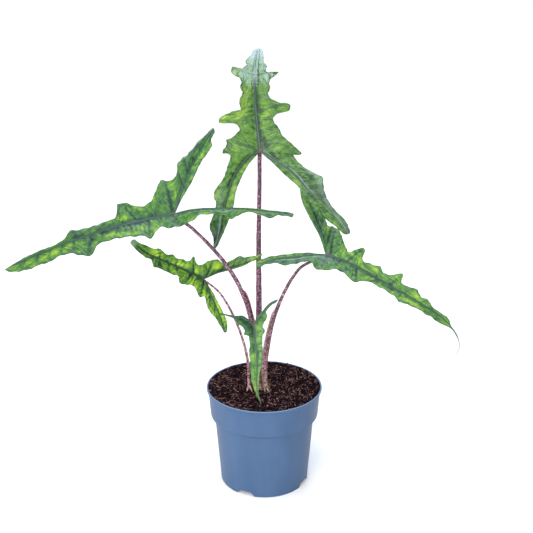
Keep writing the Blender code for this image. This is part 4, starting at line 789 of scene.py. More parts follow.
# Living alocasia leaf, lower side: paler and matt, since it has no wax, with the veins in dull purple
def mattLeafUnderside():
    finish, shader, node = newFinish("matt_leaf_underside", {"Roughness": 0.6, "IOR": 1.42})
    place = node("TexCoord", output="Object")
    turns, across, sideVein = [node("Attribute", output="Fac", attribute_name=key)
                               for key in ("turns", "across", "sideVein")]
    blotch = node("TexNoise", {"Vector": place, "Scale": 1 / (5 * mm), "Detail": 4.0, "Roughness": 0.6})
    wave = node("Math", [node("Math", [turns, fullTurn], **times)], **cosine)
    tissue = node("ValToRGB", [blotch], stops=[(0.3, "#5c7a55"), (0.7, "#829c6e"), (0.5, "#6f8b62")])
    away = node("Math", [across], **absolute)
    vein = node("MapRange", {"Value": away, "From Min": 1.6, "From Max": 0.8}, **eased)
    vein = node("Math", [vein, node("Math", [sideVein, 0.6], **times)], operation="MAXIMUM")
    vein = node("Math", [vein, 0.85], **times)
    colour = node("Mix", {"Factor": vein, 6: tissue, 7: linear("#5d4a50")}, **blend)
    height = node("Math", [wave, -0.3, blotch], **timesPlus)
    bump = node("Bump", {"Height": height, "Strength": 0.7, "Distance": 0.2 * mm})
    feed(shader, {"Base Color": colour, "Normal": bump})
    return finish


# Each leaf's colours. Tissue, from its darkest to its lightest, and a main vein, from side to side, are stops
# whose first two are the ends of a ramp. The crest of a strong side vein and the dry tip are (share, colour).
# Then come the lowest and the highest roughness, the tissue's level, and how much each pattern adds to it.
leafColours = {
    "tall": {
        "tissue": [(0.0, "#102815"), (1.0, "#a9b53a"), (0.22, "#24461f"), (0.42, "#3f662d"),
            (0.6, "#577c30"), (0.8, "#7c9534")],
        "vein": [(0.1, "#26402b"), (0.9, "#1c3022"), (0.3, "#24362c"), (0.48, "#566c68"), (0.6, "#2a3c36"),
            (0.72, "#1c2c24")],
        "crest": (0.6, "#4c6460"), "dry": (0.3, "#88a08c"), "rough": (0.22, 0.36), "level": 0.46,
        "blotch": 0.5, "streak": 0.85, "rib": 0.12, "sideVein": 0.26,
    },
    "left": {
        "tissue": [(0.0, "#122c22"), (1.0, "#b4c434"), (0.22, "#264a30"), (0.42, "#3b6631"),
            (0.6, "#59842e"), (0.8, "#8aa82e")],
        "vein": [(0.1, "#2c463c"), (0.9, "#2c463c"), (0.3, "#263a36"), (0.5, "#4e6064"), (0.66, "#2a3e3c")],
        "crest": (0.45, "#3c5658"), "dry": (0.3, "#88a08c"), "rough": (0.38, 0.52), "level": 0.445,
        "blotch": 0.6, "streak": 0.7, "rib": 0.12, "sideVein": 0.4,
    },
    "right": {
        "tissue": [(0.0, "#0f2618"), (1.0, "#a4b444"), (0.22, "#264830"), (0.42, "#3e6638"),
            (0.6, "#5c8636"), (0.8, "#7e9e3c")],
        "vein": [(0.1, "#2a443a"), (0.9, "#2a443a"), (0.3, "#243a32"), (0.5, "#45584f"), (0.66, "#283e36")],
        "crest": (0.45, "#3c5658"), "dry": (0.85, "#9ea692"), "rough": (0.38, 0.52), "level": 0.475,
        "blotch": 0.6, "streak": 0.7, "rib": 0.1, "sideVein": 0.4,
    },
    "low": {
        "tissue": [(0.0, "#162e1c"), (1.0, "#b0c43c"), (0.22, "#2c4e2c"), (0.42, "#48702c"),
            (0.6, "#68902e"), (0.8, "#90ae32")],
        "vein": [(0.1, "#203a22"), (0.9, "#203a22"), (0.35, "#1c3426"), (0.5, "#34503e"),
            (0.65, "#20382a")],
        "crest": (0.95, "#1c2e22"), "dry": (0.75, "#7c9c80"), "rough": (0.34, 0.48), "level": 0.46,
        "blotch": 0.55, "streak": 0.75, "rib": 0.24, "sideVein": 0.38,
    },
    "front": {
        "tissue": [(0.0, "#16301c"), (1.0, "#88a048"), (0.22, "#2a4a32"), (0.42, "#3c6438"),
            (0.6, "#527a38"), (0.8, "#6c8e40")],
        "vein": [(0.1, "#2c4630"), (0.9, "#2c4630"), (0.35, "#2e4436"), (0.5, "#5c7072"),
            (0.65, "#34483c")],
        "crest": (0.3, "#2c4434"), "dry": (0.4, "#7ca878"), "rough": (0.34, 0.48), "level": 0.47,
        "blotch": 0.5, "streak": 0.7, "rib": 0.12, "sideVein": 0.26,
    },
}
underside = mattLeafUnderside()
for leafName in leaves:
    makeBlade(leafName, waxyLeaf(leafName, leafColours[leafName]), underside)

# Each stalk: its route, its radii at the soil and under the leaf, and its sheath flap as (first place, last
# place, reach, the side that it is on)
stalks = {
    "tall": {
        "path": [(-4, 3.5, 103.3), (-5.5, 4, 135), (-5.5, 6, 165), (-5.5, 7.5, 195), (-5.5, 9, 246),
            (-5, 9.5, 290), (-4.5, 10, 319), (-4.5, 11.5, 338)],
        "foot": 3.8, "top": 1.95, "wing": None,
    },
    "left": {
        "path": [(-8.5, -2.5, 103.3), (-9.5, -2.5, 129), (-11, -4.5, 153), (-13, -7, 179), (-16, -9.5, 195),
            (-19.5, -12, 207), (-27, -17, 227), (-38.5, -22, 248), (-50, -26, 264), (-61, -29, 277),
            (-71, -30, 287)],
        "foot": 3.0, "top": 1.6, "wing": (0.24, 0.5, 2.6, (0.95, -0.3, 0.1)),
    },
    "right": {
        "path": [(1, -4, 103.3), (0.5, -4.5, 127), (2, -5.5, 142), (5, -7.5, 162), (10.4, -11, 188),
            (20, -15.5, 215), (31.4, -20, 237), (41.5, -23, 247)],
        "foot": 2.8, "top": 1.4, "wing": (0.04, 0.5, 1.8, (-0.95, -0.3, 0.1)),
    },
    "low": {
        "path": [(-15.5, -7, 98), (-16, -7, 120), (-16.5, -7.5, 134), (-20.5, -8.5, 156), (-27.5, -10, 179),
            (-35.5, -11.5, 198), (-46, -12, 215)],
        "foot": 1.65, "top": 1.05, "wing": None,
    },
    "front": {
        "path": [(-3.5, -10.5, 103.3), (-6, -12, 119), (-8.5, -16, 140), (-10, -22, 160), (-10, -27, 171)],
        "foot": 2.2, "top": 1.3, "wing": None,
    },
}

# What a user may change on the stalks, in mm
stalk = {"rings": 260, "sides": 30, "flare": 0.7 / 3, "flareHeight": 7.0, "lump": 0.05, "lumpLength": 16,
         "lumpReach": 6, "tipLength": 7.0, "topFrom": 0.87, "underLeaf": 0.95, "underPlaces": (2.0, 9.0)}
sheath = {"rows": 120, "columns": 12, "thickness": 0.5, "edgeThinner": 0.32, "opensOver": 0.35,
          "closesOver": 0.06, "turn": 0.75, "curl": 1.0, "wave": (0.2, 9), "tipAhead": 2.2}


# The stalk's route: its own points, then points close under the leaf's midrib where it turns into the keel
def stalkPath(name, steps):
    left, right = [halfVeins(leaves[name], side)[0] for side in ("left", "right")]
    shares = np.array(stalk["underPlaces"]) / runLength(left["point"])[-1]
    face = unit(readVein(left["face"], shares) + readVein(right["face"], shares))
    under = readVein(left["point"], shares) - (stalks[name]["top"] + stalk["underLeaf"]) * face
    return evenly(smoothCurve(np.vstack([stalks[name]["path"], under]), 500), steps)


# A thin leathery flap along one side of a stalk: a grid of places by w, from 0 at the stalk to 1 at the free
# margin, which lies radius + reach w out, turned by a curl as it goes out, and ends in a free point
def sheathFlap(facts, path, ways, radius):
    start, end, reach, side = facts["wing"]
    s, t, w = [np.linspace(0, 1, count) for count in (len(path), sheath["rows"], sheath["columns"])]
    at = start + (end - start) * t
    centre, across, up, along = [readRows(at, s, rows) for rows in [path] + ways]
    across, up, along = unit(across), unit(up), unit(along)
    base = np.unwrap(np.arctan2(up @ unit(side), across @ unit(side)))
    opening, closing = t / sheath["opensOver"], (1 - t) / sheath["closesOver"]
    full = np.clip(opening, 0, 1) ** 0.8 * np.clip(closing, 0, 1) ** 0.7
    out = np.interp(at, s, radius)[:, None] * (1 - 0.25 * (1 - w)) + (reach * full)[:, None] * w
    height, waves = sheath["wave"]
    turn = base[:, None] + sheath["turn"] - sheath["curl"] * w + height * np.sin(waves * t)[:, None] * w
    way = np.cos(turn)[..., None] * across[:, None] + np.sin(turn)[..., None] * up[:, None]
    ahead = sheath["tipAhead"] * w**2 * (t**6)[:, None]
    middle = (centre[:, None] + way * out[..., None] + along[:, None] * ahead[..., None]).reshape(-1, 3)
    grid = gridTriangles(len(t), len(w))
    half = np.tile(sheath["thickness"] * (0.5 - sheath["edgeThinner"] * w), len(t))[:, None]
    shift = pointNormals(middle, grid) * half
    return twoSkins(middle + shift, middle - shift, grid), np.tile(np.clip(w * 1.6 - 0.5, 0, 1), 2 * len(t))


# A stalk: a ring of radius r(s) carried along its route without twisting, where r goes straight from foot to
# top by s = topFrom. It is wider at the soil by foot flare exp(-length / flareHeight), uneven by 5 % and
# drawn to a blunt end under the midrib.
def makeStalk(name, finish):
    facts = stalks[name]
    path = stalkPath(name, stalk["rings"])
    run = unit(np.gradient(path, axis=0))
    far = runLength(path)
    across = np.zeros_like(path)
    across[0] = unit(np.cross((0, 1, 0), run[0]))
    for k in range(1, len(path)):
        across[k] = unit(across[k - 1] - (across[k - 1] @ run[k]) * run[k])
    up = np.cross(run, across)
    s = np.linspace(0, 1, len(path))
    radius = facts["foot"] + (facts["top"] - facts["foot"]) * np.minimum(1, s / stalk["topFrom"])
    radius = radius + facts["foot"] * stalk["flare"] * np.exp(-s * far[-1] / stalk["flareHeight"])
    radius = radius * np.sqrt(np.clip((1 - s) * far[-1] / stalk["tipLength"], 0.02, 1))
    way = ringWays(across, up, stalk["sides"])
    lumps = softNoise(path[:, None] + way * stalk["lumpReach"], stalk["lumpLength"], 21 + len(name))
    rings = path[:, None] + way * (radius[:, None] * (1 + lumps * stalk["lump"]))[..., None]
    parts = [closedTube(path, rings)]
    brown = np.zeros(len(parts[0][0]))
    if facts["wing"]:
        flap, flapBrown = sheathFlap(facts, path, [across, up, run], radius)
        parts.append(flap)
        brown = np.r_[brown, flapBrown]
    points, triangles = joined(parts)
    height = points[:, 2] - path[0, 2]
    carried = {"brown": brown, "up": height, "end": np.interp(height, [0, height.max()], [0, 1])}
    piece = meshPiece("leaf_stalk_" + name, points, triangles, [finish], None, carried)
    dress(piece, "stalk_" + name)


# Alocasia stalk: smooth fleshy skin, mauve-pink, crossed by dark purple dashes about 2 mm wide and 1.2 mm
# high, with a fine pale bloom. Wet tissue under a thin skin, so it is satin.
def mottledStalk(name, colours):
    finish, shader, node = newFinish("mottled_stalk_" + name, {"Roughness": 0.42, "IOR": 1.44})
    place = node("TexCoord", output="Object")
    brown, up, end = [node("Attribute", output="Fac", attribute_name=key) for key in ("brown", "up", "end")]
    flat = node("Mapping", {"Vector": place, "Scale": (1.0, 1.0, 1.6)})
    dashes = node("TexNoise", {"Vector": flat, "Scale": 1 / (2.0 * mm), "Detail": 1.0, "Roughness": 0.5,
                               "Distortion": 0.6})
    bands = node("TexNoise", {"Vector": flat, "Scale": 1 / (6.5 * mm), "Detail": 2.0, "Roughness": 0.5})
    bloomAndSheen = node("TexNoise", {"Vector": place, "Scale": 1 / (7 * mm), "Detail": 3.0, "Roughness": 0.6})
    # the dashes gather in bands and crowd together towards the leaf
    crowd = node("Math", [bands, 0.35, dashes], **timesPlus)
    crowd = node("Math", [end, colours["crowding"], crowd], **timesPlus)
    cover, blur = colours["cover"], 0.035
    dash = node("MapRange", {"Value": crowd, "From Min": cover - blur, "From Max": cover + blur}, **eased)
    ground = node("ValToRGB", [bloomAndSheen], stops=colours["ground"])
    dark, faint = [node("Math", [dash, share], **times) for share in (colours["dashes"], 0.8)]
    colour = node("Mix", {"Factor": dark, 6: ground, 7: linear(colours["dash"])}, **blend)
    # the foot is pale where it was under the soil, and the sheath's margin is dry and brown
    pale = node("Mix", {"Factor": faint, 6: linear("#b29888"), 7: linear("#3c2826")}, **blend)
    foot = node("MapRange", {"Value": up, "From Min": colours["footHeight"], "From Max": 1.0}, **eased)
    foot = node("Math", [foot, 0.75], **times)
    for factor, shade in ((foot, pale), (brown, linear("#a88f7c"))):
        colour = node("Mix", {"Factor": factor, 6: colour, 7: shade}, **blend)
    rough = node("MapRange", {"Value": bloomAndSheen, "From Min": 0.3, "From Max": 0.7,
                              "To Min": 0.34, "To Max": 0.52})
    height = node("Math", [node("Math", [dash, -0.4], **times), node("Math", [bloomAndSheen, 0.6], **times)], **plus)
    bump = node("Bump", {"Height": height, "Strength": 0.6, "Distance": 0.15 * mm})
    feed(shader, {"Base Color": colour, "Roughness": rough, "Normal": bump})
    return finish


# Each stalk's ground as stops, the colour and strength of its dashes, how high the pale foot goes in mm,
# where the noise starts to be a dash, and how much sooner it does at the leaf
stalkColours = {
    "tall": {
        "ground": [(0.25, "#764560"), (0.75, "#a3718a"), (0.5, "#8d5872")],
        "dash": "#2a1420", "footHeight": 30.0, "dashes": 0.95, "cover": 0.65, "crowding": 0.04,
    },
    "left": {
        "ground": [(0.25, "#805469"), (0.75, "#aa8096"), (0.5, "#94687e")],
        "dash": "#301c28", "footHeight": 30.0, "dashes": 0.92, "cover": 0.705, "crowding": 0.08,
    },
    "right": {
        "ground": [(0.25, "#865c6a"), (0.75, "#c49ba7"), (0.5, "#a67987")],
        "dash": "#2c1620", "footHeight": 34.0, "dashes": 0.93, "cover": 0.725, "crowding": 0.215,
    },
    "low": {
        "ground": [(0.25, "#8a6068"), (0.75, "#c29ea6"), (0.5, "#a67e86")],
        "dash": "#2c1418", "footHeight": 12.0, "dashes": 0.92, "cover": 0.715, "crowding": 0.07,
    },
    "front": {
        "ground": [(0.25, "#7c5866"), (0.75, "#a8808e"), (0.5, "#926c7a")],
        "dash": "#301c26", "footHeight": 20.0, "dashes": 0.9, "cover": 0.67, "crowding": 0.02,
    },
}
for stalkName in stalks:
    makeStalk(stalkName, mottledStalk(stalkName, stalkColours[stalkName]))


# What a user may change on the pot, in mm: (radius, height) from the middle of the base round to the inside,
# and notches by their angles in degrees from the front, their height, and their widths at the top and the
# foot
pot = {
    "segments": 288, "profileStep": 3.0,
    "outside": [(20, 0), (23, 5.1), (44.3, 5.1), (44.9, 0.25), (45.15, 0), (45.95, 0), (46.25, 0.3),
        (49.1, 37), (51.95, 74.1), (52.2, 74.6), (52.7, 74.8), (55.4, 74.9), (55.85, 75.1), (56.05, 75.6),
        (56.2, 76.4), (57.2, 89), (58.25, 101.8), (58.5, 102.5), (59.4, 103.15), (59.85, 103.5), (60, 104.0),
        (60, 104.9), (59.85, 105.4), (59.4, 105.7), (58.9, 105.7)],
    "inside": [(58.6, 105.6), (58.45, 105.3), (58.3, 104.1), (57.9, 103.5), (57.3, 102.9), (57, 102.3),
        (56, 91), (54.9, 77.6), (54.4, 76.4), (51.2, 75.7), (50.7, 75.2), (48, 40), (45.4, 7.4), (44.9, 6.6),
        (44.2, 6.4), (21.7, 6.4), (18.7, 1.3), (0, 1.3)],
    "notchAngles": (-25.5, 64, 154, 244), "notchHeight": 4.9, "notchTop": 13.5, "notchFoot": 20.2,
    "foot": {"radius": 45.5, "inside": 43, "height": 6}, "sharpFrom": 32,
    "holes": 8, "holeRadius": 3.2, "holeRing": 33.0, "holeFrom": -3, "holeTo": 9,
    "lipHighlight": (105.1, 105.6), "shadowLineHeight": 73.2, "shadowLineHalf": (1.2, 0.4),
}


# Points added along a profile so that none are further apart than a step
def finer(profile, step):
    p = np.array(profile, float)
    parts = [np.linspace(a, b, max(1, math.ceil(np.linalg.norm(b - a) / step)), endpoint=False)
             for a, b in zip(p[:-1], p[1:])]
    return np.vstack(parts + [p[-1:]])


# A profile of (radius, height) turned about the z axis: x = r cos a, y = r sin a. Where the radius is 0 the
# ring becomes one point. Lift gives the least height of the foot at each angle.
def turned(profile, segments, lift=None):
    profile = np.asarray(profile, float)
    angle = np.arange(segments) / segments * fullTurn
    r, z = profile[:, :1], profile[:, 1:] + 0 * angle
    if lift is not None:
        inFoot = (r > pot["foot"]["inside"]) & (z < pot["foot"]["height"])
        z = np.where(inFoot, np.maximum(z, lift(angle)), z)
    points = np.stack([r * np.cos(angle), r * np.sin(angle), z], axis=-1).reshape(-1, 3)
    kept, triangles = welded(points, gridTriangles(len(profile), segments, wrap=True))
    return points[kept], triangles


# Moulded polypropylene nursery pot: blue-grey pigment through the plastic, satin from the mould. Roughness
# and IOR are near those of the plastic. The eye gets a soft highlight, with faint flow marks and a fine
# grain.
def mouldedPot():
    finish, shader, node = newFinish("moulded_polypropylene", {"IOR": 1.45, "Specular IOR Level": 0.22})
    place = node("TexCoord", output="Object")
    drawn = node("Mapping", {"Vector": place, "Scale": (1, 1, 0.35)})
    flow = node("TexNoise", {"Vector": drawn, "Scale": 1 / (22 * mm), "Detail": 3.0, "Roughness": 0.5})
    grain = node("TexNoise", {"Vector": place, "Scale": 1 / (0.7 * mm), "Detail": 2.0, "Roughness": 0.6})
    colour = node("ValToRGB", [flow], stops=[(0.3, "#3a5272"), (0.7, "#425a7a"), (0.5, "#3e5676")])
    height = node("SeparateXYZ", [place], output="Z")
    # painted highlight: the top of the lip is painted paler, where its rounded edge would catch the light
    low, high = [at * mm for at in pot["lipHighlight"]]
    lipHighlight = node("MapRange", {"Value": height, "From Min": low, "From Max": high, "To Max": 0.45})
    # painted shadow: a thin dark line is painted on the wall close under the collar, where the collar's
    # overhang shades it
    away = node("Math", [node("Math", [height, pot["shadowLineHeight"] * mm], **minus)], **absolute)
    out, full = [half * mm for half in pot["shadowLineHalf"]]
    paintedShadowLine = node("MapRange", {"Value": away, "From Min": out, "From Max": full, "To Max": 0.85}, **eased)
    for factor, shade in ((lipHighlight, "#8ea6cc"), (paintedShadowLine, "#22304a")):
        colour = node("Mix", {"Factor": factor, 6: colour, 7: linear(shade)}, **blend)
    rough = node("MapRange", {"Value": flow, "From Min": 0.3, "From Max": 0.7,
                              "To Min": 0.38, "To Max": 0.48})
    bump = node("Bump", {"Height": grain, "Strength": 0.35, "Distance": 0.06 * mm})
    feed(shader, {"Base Color": colour, "Roughness": rough, "Normal": bump})
    return finish


# How high the foot is raised at angles: each notch is notchHeight deep, with a straight slope at either side.
# Angles are counted from +X, while a notch's own is from the front, which is -Y, and goes up towards +X.
def notchLift(angle):
    total = np.zeros_like(angle)
    foot, top = pot["notchFoot"] / 2, pot["notchTop"] / 2
    for notch in pot["notchAngles"]:
        away = (angle - math.radians(notch - 90) + math.pi) % fullTurn - math.pi
        slope = (foot - np.abs(away) * pot["foot"]["radius"]) / (foot - top)
        total = np.maximum(total, pot["notchHeight"] * np.clip(slope, 0, 1))
    return total


# The pot: the profile turned, its foot raised at four notches, and eight holes cut in the floor
def makePot():
    outside, inside = [(0, 0)] + pot["outside"], pot["inside"]
    profile = np.vstack([finer(rows, pot["profileStep"]) for rows in (outside, inside)])
    points, triangles = turned(profile, pot["segments"], notchLift)
    piece = meshPiece("nursery_pot", points, triangles, [mouldedPot()])
    low, high, radius = pot["holeFrom"], pot["holeTo"], pot["holeRadius"]
    rod, rodFaces = turned([(0, low), (radius, low), (radius, high), (0, high)], 32)
    turns = [(k + 0.5) / pot["holes"] * fullTurn for k in range(pot["holes"])]
    rods = [(rod + (pot["holeRing"] * math.cos(turn), pot["holeRing"] * math.sin(turn), 0), rodFaces)
            for turn in turns]
    tool = meshPiece("pot_hole_tool", *joined(rods), [])
    cut = piece.modifiers.new("holes", "BOOLEAN")
    cut.operation, cut.solver, cut.object = "DIFFERENCE", "EXACT", tool
    holed = bpy.data.meshes.new_from_object(piece.evaluated_get(bpy.context.evaluated_depsgraph_get()))
    piece.modifiers.clear()
    piece.data = holed
    piece.data.shade_smooth()
    piece.data.set_sharp_from_angle(angle=math.radians(pot["sharpFrom"]))
    bpy.data.objects.remove(tool)
    dress(piece, "pot")


# What a user may change in the soil, in mm: lumps are (height, size of the waves, seed, how many waves), the
# side is (radius, height) down the pot's wall, and what is strewn is (how many, how far up, three half sizes)
soil = {
    "radius": 58.1, "top": 104.2, "rings": 120, "segments": 280, "seed": 41, "highest": 107.5,
    "lumps": ((0.7, 20, 2, 14), (0.85, 6, 3, 30), (0.5, 2.1, 4, 40)),
    "mound": {"x": -2.5, "y": -3, "height": 0.8, "spread": 450},
    "rim": {"height": 0.8, "width": 2.5, "calm": 0.7},
    "side": ((56.4, 102), (54.4, 78), (50, 74.8), (45, 8.4), (44, 7)),
    "crumbs": (1500, 0.5, (1.1, 0.9, 0.7)), "barkCrumbs": (187, 0.7, (1.2, 0.9, 0.7)),
    "chips": (420, 0.9, (1.3, 0.6, 0.22)), "mossBits": (30, 1.2, (1.0, 0.4, 0.2)),
    "fibres": (3000, 0.9, (2.4, 0.2, 0.17)), "boldFibres": (420, 1.4, (3.3, 0.33, 0.28)),
    "fibreBend": {"bow": 0.3, "kink": 0.1, "widths": 8}, "reach": 57.0, "fibreReach": 58.0,
}


# Height of the soil: flat, with lumps 20 mm, 6 mm and 2 mm across, a low mound round the stalks, and a calmer
# and slightly higher rim
def soilHeight(x, y):
    flat, mound, rim = np.stack([x, y], axis=-1), soil["mound"], soil["rim"]
    heap = mound["height"] * np.exp(-((x - mound["x"]) ** 2 + (y - mound["y"]) ** 2) / mound["spread"])
    atRim = np.exp(-(soil["radius"] - np.hypot(x, y)) / rim["width"])
    rough = sum(height * softNoise(flat, *waves) for height, *waves in soil["lumps"])
    return soil["top"] + (1 - rim["calm"] * atRim) * rough + heap + rim["height"] * atRim


# Peat-based potting soil, damp: humus is nearly black, its broken plant fibres brown, and it is dull all over
def pottingSoil(name, roughness, stops):
    finish, shader, node = newFinish(name, {"Roughness": roughness, "IOR": 1.36, "Specular IOR Level": 0.12})
    place = node("TexCoord", output="Object")
    crumb = node("TexNoise", {"Vector": place, "Scale": 1 / (2.4 * mm), "Detail": 5.0, "Roughness": 0.7})
    tone = node("Attribute", output="Fac", attribute_name="tone")
    level = node("Math", [node("Math", [crumb, 0.5, tone], **timesPlus), 0.25], **minus)
    bump = node("Bump", {"Height": crumb, "Strength": 1.0, "Distance": 0.5 * mm})
    feed(shader, {"Base Color": node("ValToRGB", [level], stops=stops), "Normal": bump})
    return finish


# The soil: a polar grid with crumbs (squashed eight-sided lumps), chips (thin bent plates) and fibres (bent
# three-sided rods) strewn over it. Each kind is placed at once, by adding each bit's own frame to one shape.
def makeSoil():
    draw = np.random.default_rng(soil["seed"])
    radii = (soil["radius"] * np.linspace(0, 1, soil["rings"]) ** 0.8)[:, None]
    angle = np.arange(soil["segments"]) / soil["segments"] * fullTurn
    x, y = radii * np.cos(angle), radii * np.sin(angle)
    side = [np.stack([radius * np.cos(angle), radius * np.sin(angle), 0 * angle + z], axis=-1)
            for radius, z in soil["side"]]
    rows = np.concatenate([np.stack([x, y, soilHeight(x, y)], axis=-1), side])
    points = np.vstack([rows.reshape(-1, 3), [(0, 0, soil["side"][-1][1])]])
    bottom = len(points) - 1 - soil["segments"] + np.arange(soil["segments"])
    base = np.stack([bottom, np.roll(bottom, -1), 0 * bottom + len(points) - 1], axis=1)
    kept, triangles = welded(points, np.vstack([gridTriangles(len(rows), soil["segments"], wrap=True), base]))
    parts = [(points[kept], triangles)]
    finishOf, tone = [np.zeros(len(triangles))], [np.full(len(kept), 0.5)]

    # each bit lies at a random place, turned its own way: centre + forward x + side y + (forward x side) z
    def strew(shape, faces, kind, finish, reach=soil["reach"]):
        count, lift, size = soil[kind]
        radius, turn = reach * np.sqrt(draw.uniform(0, 1, count)), draw.uniform(0, fullTurn, count)
        at = np.stack([radius * np.cos(turn), radius * np.sin(turn)], axis=1)
        centre = np.c_[at, soilHeight(at[:, 0], at[:, 1]) + lift * draw.uniform(-0.6, 1.0, count)]
        forward = unit(np.c_[draw.normal(size=(count, 2)), draw.normal(0, 0.35, count)])
        side = unit(np.cross(forward, draw.normal(size=(count, 3))))
        axes = np.stack([forward, side, np.cross(forward, side)], axis=1)
        sizes = np.array(size) * np.exp(draw.normal(0, 0.35, (count, 3)))
        local = shape * sizes[:, None]
        local = local * (1 + 0.15 * draw.normal(size=local.shape[:2])[..., None] * (shape.shape[-2] < 12))
        placed = centre[:, None] + local @ axes
        placed[..., :2] /= np.maximum(1, np.hypot(placed[..., 0], placed[..., 1]) / soil["radius"])[..., None]
        placed[..., 2] = np.minimum(placed[..., 2], soil["highest"])
        each = placed.shape[1]
        more = (faces + (np.arange(count) * each)[:, None, None]).reshape(-1, 3)
        parts.append((placed.reshape(-1, 3), more))
        finishOf.append(np.full(len(more), finish))
        tone.append(np.repeat(draw.uniform(0, 1, count), each))

    # eight-sided lump
    lump = np.array([(1, 0, 0), (0, 1, 0), (-1, 0, 0), (0, -1, 0), (0, 0, 1), (0, 0, -1)], float)
    lumpFaces = np.array([(0, 1, 4), (1, 2, 4), (2, 3, 4), (3, 0, 4),
                          (1, 0, 5), (2, 1, 5), (3, 2, 5), (0, 3, 5)])
    strew(lump, lumpFaces, "crumbs", 0)
    strew(lump, lumpFaces, "barkCrumbs", 1)
    # plate with its corners drawn in
    corners = (-1, -0.6), (0.7, -1), (1, 0.5), (-0.4, 1)
    plate = np.array([(x, y, z) for z in (-1, 1) for x, y in corners], float)
    plateFaces = np.array([(0, 2, 1), (0, 3, 2), (4, 5, 6), (4, 6, 7), (0, 1, 5), (0, 5, 4),
                           (1, 2, 6), (1, 6, 5), (2, 3, 7), (2, 7, 6), (3, 0, 4), (3, 4, 7)])
    strew(plate, plateFaces, "chips", 1)
    strew(plate, plateFaces, "mossBits", 3)
    # bent rod: five rings of three points, x from -1 to 1, closed at both ends, each rod with its own bend
    bold = soil["boldFibres"][0]
    count, rings, sides = soil["fibres"][0] + bold, 5, 3
    u = np.linspace(-1, 1, rings)
    bow, kink, widths = soil["fibreBend"].values()
    bend = draw.normal(0, bow, (count, 1, 2)) * (u**2)[:, None] + draw.normal(0, kink, (count, rings, 2))
    ringAt = np.arange(sides) / sides * fullTurn
    rod = np.zeros((count, rings, sides, 3))
    rod[..., 0] = u[:, None]
    rod[..., 1:] = bend[..., None, :] * widths + np.stack([np.cos(ringAt), np.sin(ringAt)], axis=-1)
    last = (rings - 1) * sides
    rodFaces = np.vstack([gridTriangles(rings, sides, wrap=True), [(0, 2, 1), (last, last + 1, last + 2)]])
    rod = rod.reshape(count, rings * sides, 3)
    strew(rod[bold:], rodFaces, "fibres", 2, soil["fibreReach"])
    strew(rod[:bold], rodFaces, "boldFibres", 2)

    finishes = [
        pottingSoil("damp_peat_soil", 0.95, [(0.3, "#070305"), (0.8, "#2a1a22"), (0.55, "#12090d")]),
        pottingSoil("bark_chips", 0.8, [(0.2, "#170c11"), (0.95, "#937060"), (0.55, "#35212a"),
                                        (0.8, "#64474a")]),
        pottingSoil("peat_fibres", 0.75, [(0.25, "#120a0e"), (1.0, "#c49a8e"), (0.55, "#3a242c"),
                                          (0.78, "#6a4a50"), (0.9, "#966e6c")]),
        pottingSoil("moss_bits", 0.8, [(0.2, "#3c5a28"), (0.8, "#9cb868")])]
    points, triangles = joined(parts)
    piece = meshPiece("potting_soil", points, triangles, finishes, np.concatenate(finishOf),
                      {"tone": np.concatenate(tone)})
    dress(piece, "soil")


# What a user may change on the corm, in mm. Scales are (turn in degrees, radius, height, half width, lean),
# and young roots are (where each leaves its stalk, turn in degrees, length, radius).
corm = {
    "centre": (-2.5, -3.0), "radius": 10.2, "bottom": 72.0, "top": 103.1, "sides": 64, "rings": 36, "seed": 8,
    "scales": [(185, 9.6, 8, 3.5, 0.1), (215, 9.2, 5, 3, 0.3), (243, 8.5, 4, 2, 0.5), (262, 9.9, 5, 2.6, 0.2),
        (290, 9.2, 4, 1.6, 0.6), (305, 7.4, 6, 2.2, 0.3), (322, 7.6, 3.5, 1.4, 0.9), (338, 7.2, 5, 2, 0.4),
        (0, 7.3, 6.5, 3, 0.15), (20, 7.6, 3.5, 1.4, 0.8), (45, 8, 7, 3.5, 0.2), (80, 9.4, 9, 3.5, 0.15),
        (115, 9.9, 7, 4, 0.15), (150, 8.5, 6, 4, 0.3)],
    "scaleFoot": 101.8, "scaleHalf": 0.2, "scaleGrid": (22, 14),
    "roots": [((0.8, -6.0, 108.5), -66, 14.5, 1.0), ((-0.8, -5.8, 107.8), -78, 12.5, 0.95),
        ((-2.0, -5.2, 107.0), -98, 9.0, 0.8), ((2.8, -5.4, 107.0), -42, 9.0, 0.75),
        ((-8.8, -5.2, 107.0), -95, 7.0, 0.7), ((-15.0, -7.4, 108.6), -66, 7.5, 0.85),
        ((-16.2, -7.6, 107.6), -112, 5.5, 0.7), ((-7.0, 6.5, 107.5), 110, 10.0, 0.9),
        ((-2.0, 7.0, 108.0), 60, 12.0, 0.9), ((-5.0, 7.6, 107.0), 86, 8.0, 0.75)],
    "rootEnd": 103.6, "rootGrid": (14, 12),
}


# Dry leaf bases round the corm: brown paper-like tissue with lengthwise veins, dull
def dryScale():
    finish, shader, node = newFinish("dry_leaf_base", {"Roughness": 0.75, "IOR": 1.4})
    stretched = node("Mapping", {"Vector": node("TexCoord", output="Object"), "Scale": (1, 1, 0.2)})
    veins = node("TexNoise", {"Vector": stretched, "Scale": 1 / (1.1 * mm), "Detail": 3.0, "Roughness": 0.6})
    colour = node("ValToRGB", [veins], stops=[(0.3, "#3c2822"), (0.72, "#8d7058"), (0.5, "#614539")])
    bump = node("Bump", {"Height": veins, "Strength": 0.9, "Distance": 0.3 * mm})
    feed(shader, {"Base Color": colour, "Normal": bump})
    return finish


# Young aerial roots: pale, smooth and damp, with soil rubbed on in specks
def youngRoot():
    finish, shader, node = newFinish("young_root", {"Roughness": 0.55, "IOR": 1.4})
    specks = node("TexNoise", {"Vector": node("TexCoord", output="Object"), "Scale": 1 / (0.9 * mm),
                               "Detail": 3.0, "Roughness": 0.6})
    colour = node("ValToRGB", [specks], stops=[(0.36, "#5a423a"), (0.72, "#c8b49c"), (0.48, "#a88e7c")])
    feed(shader, {"Base Color": colour})
    return finish


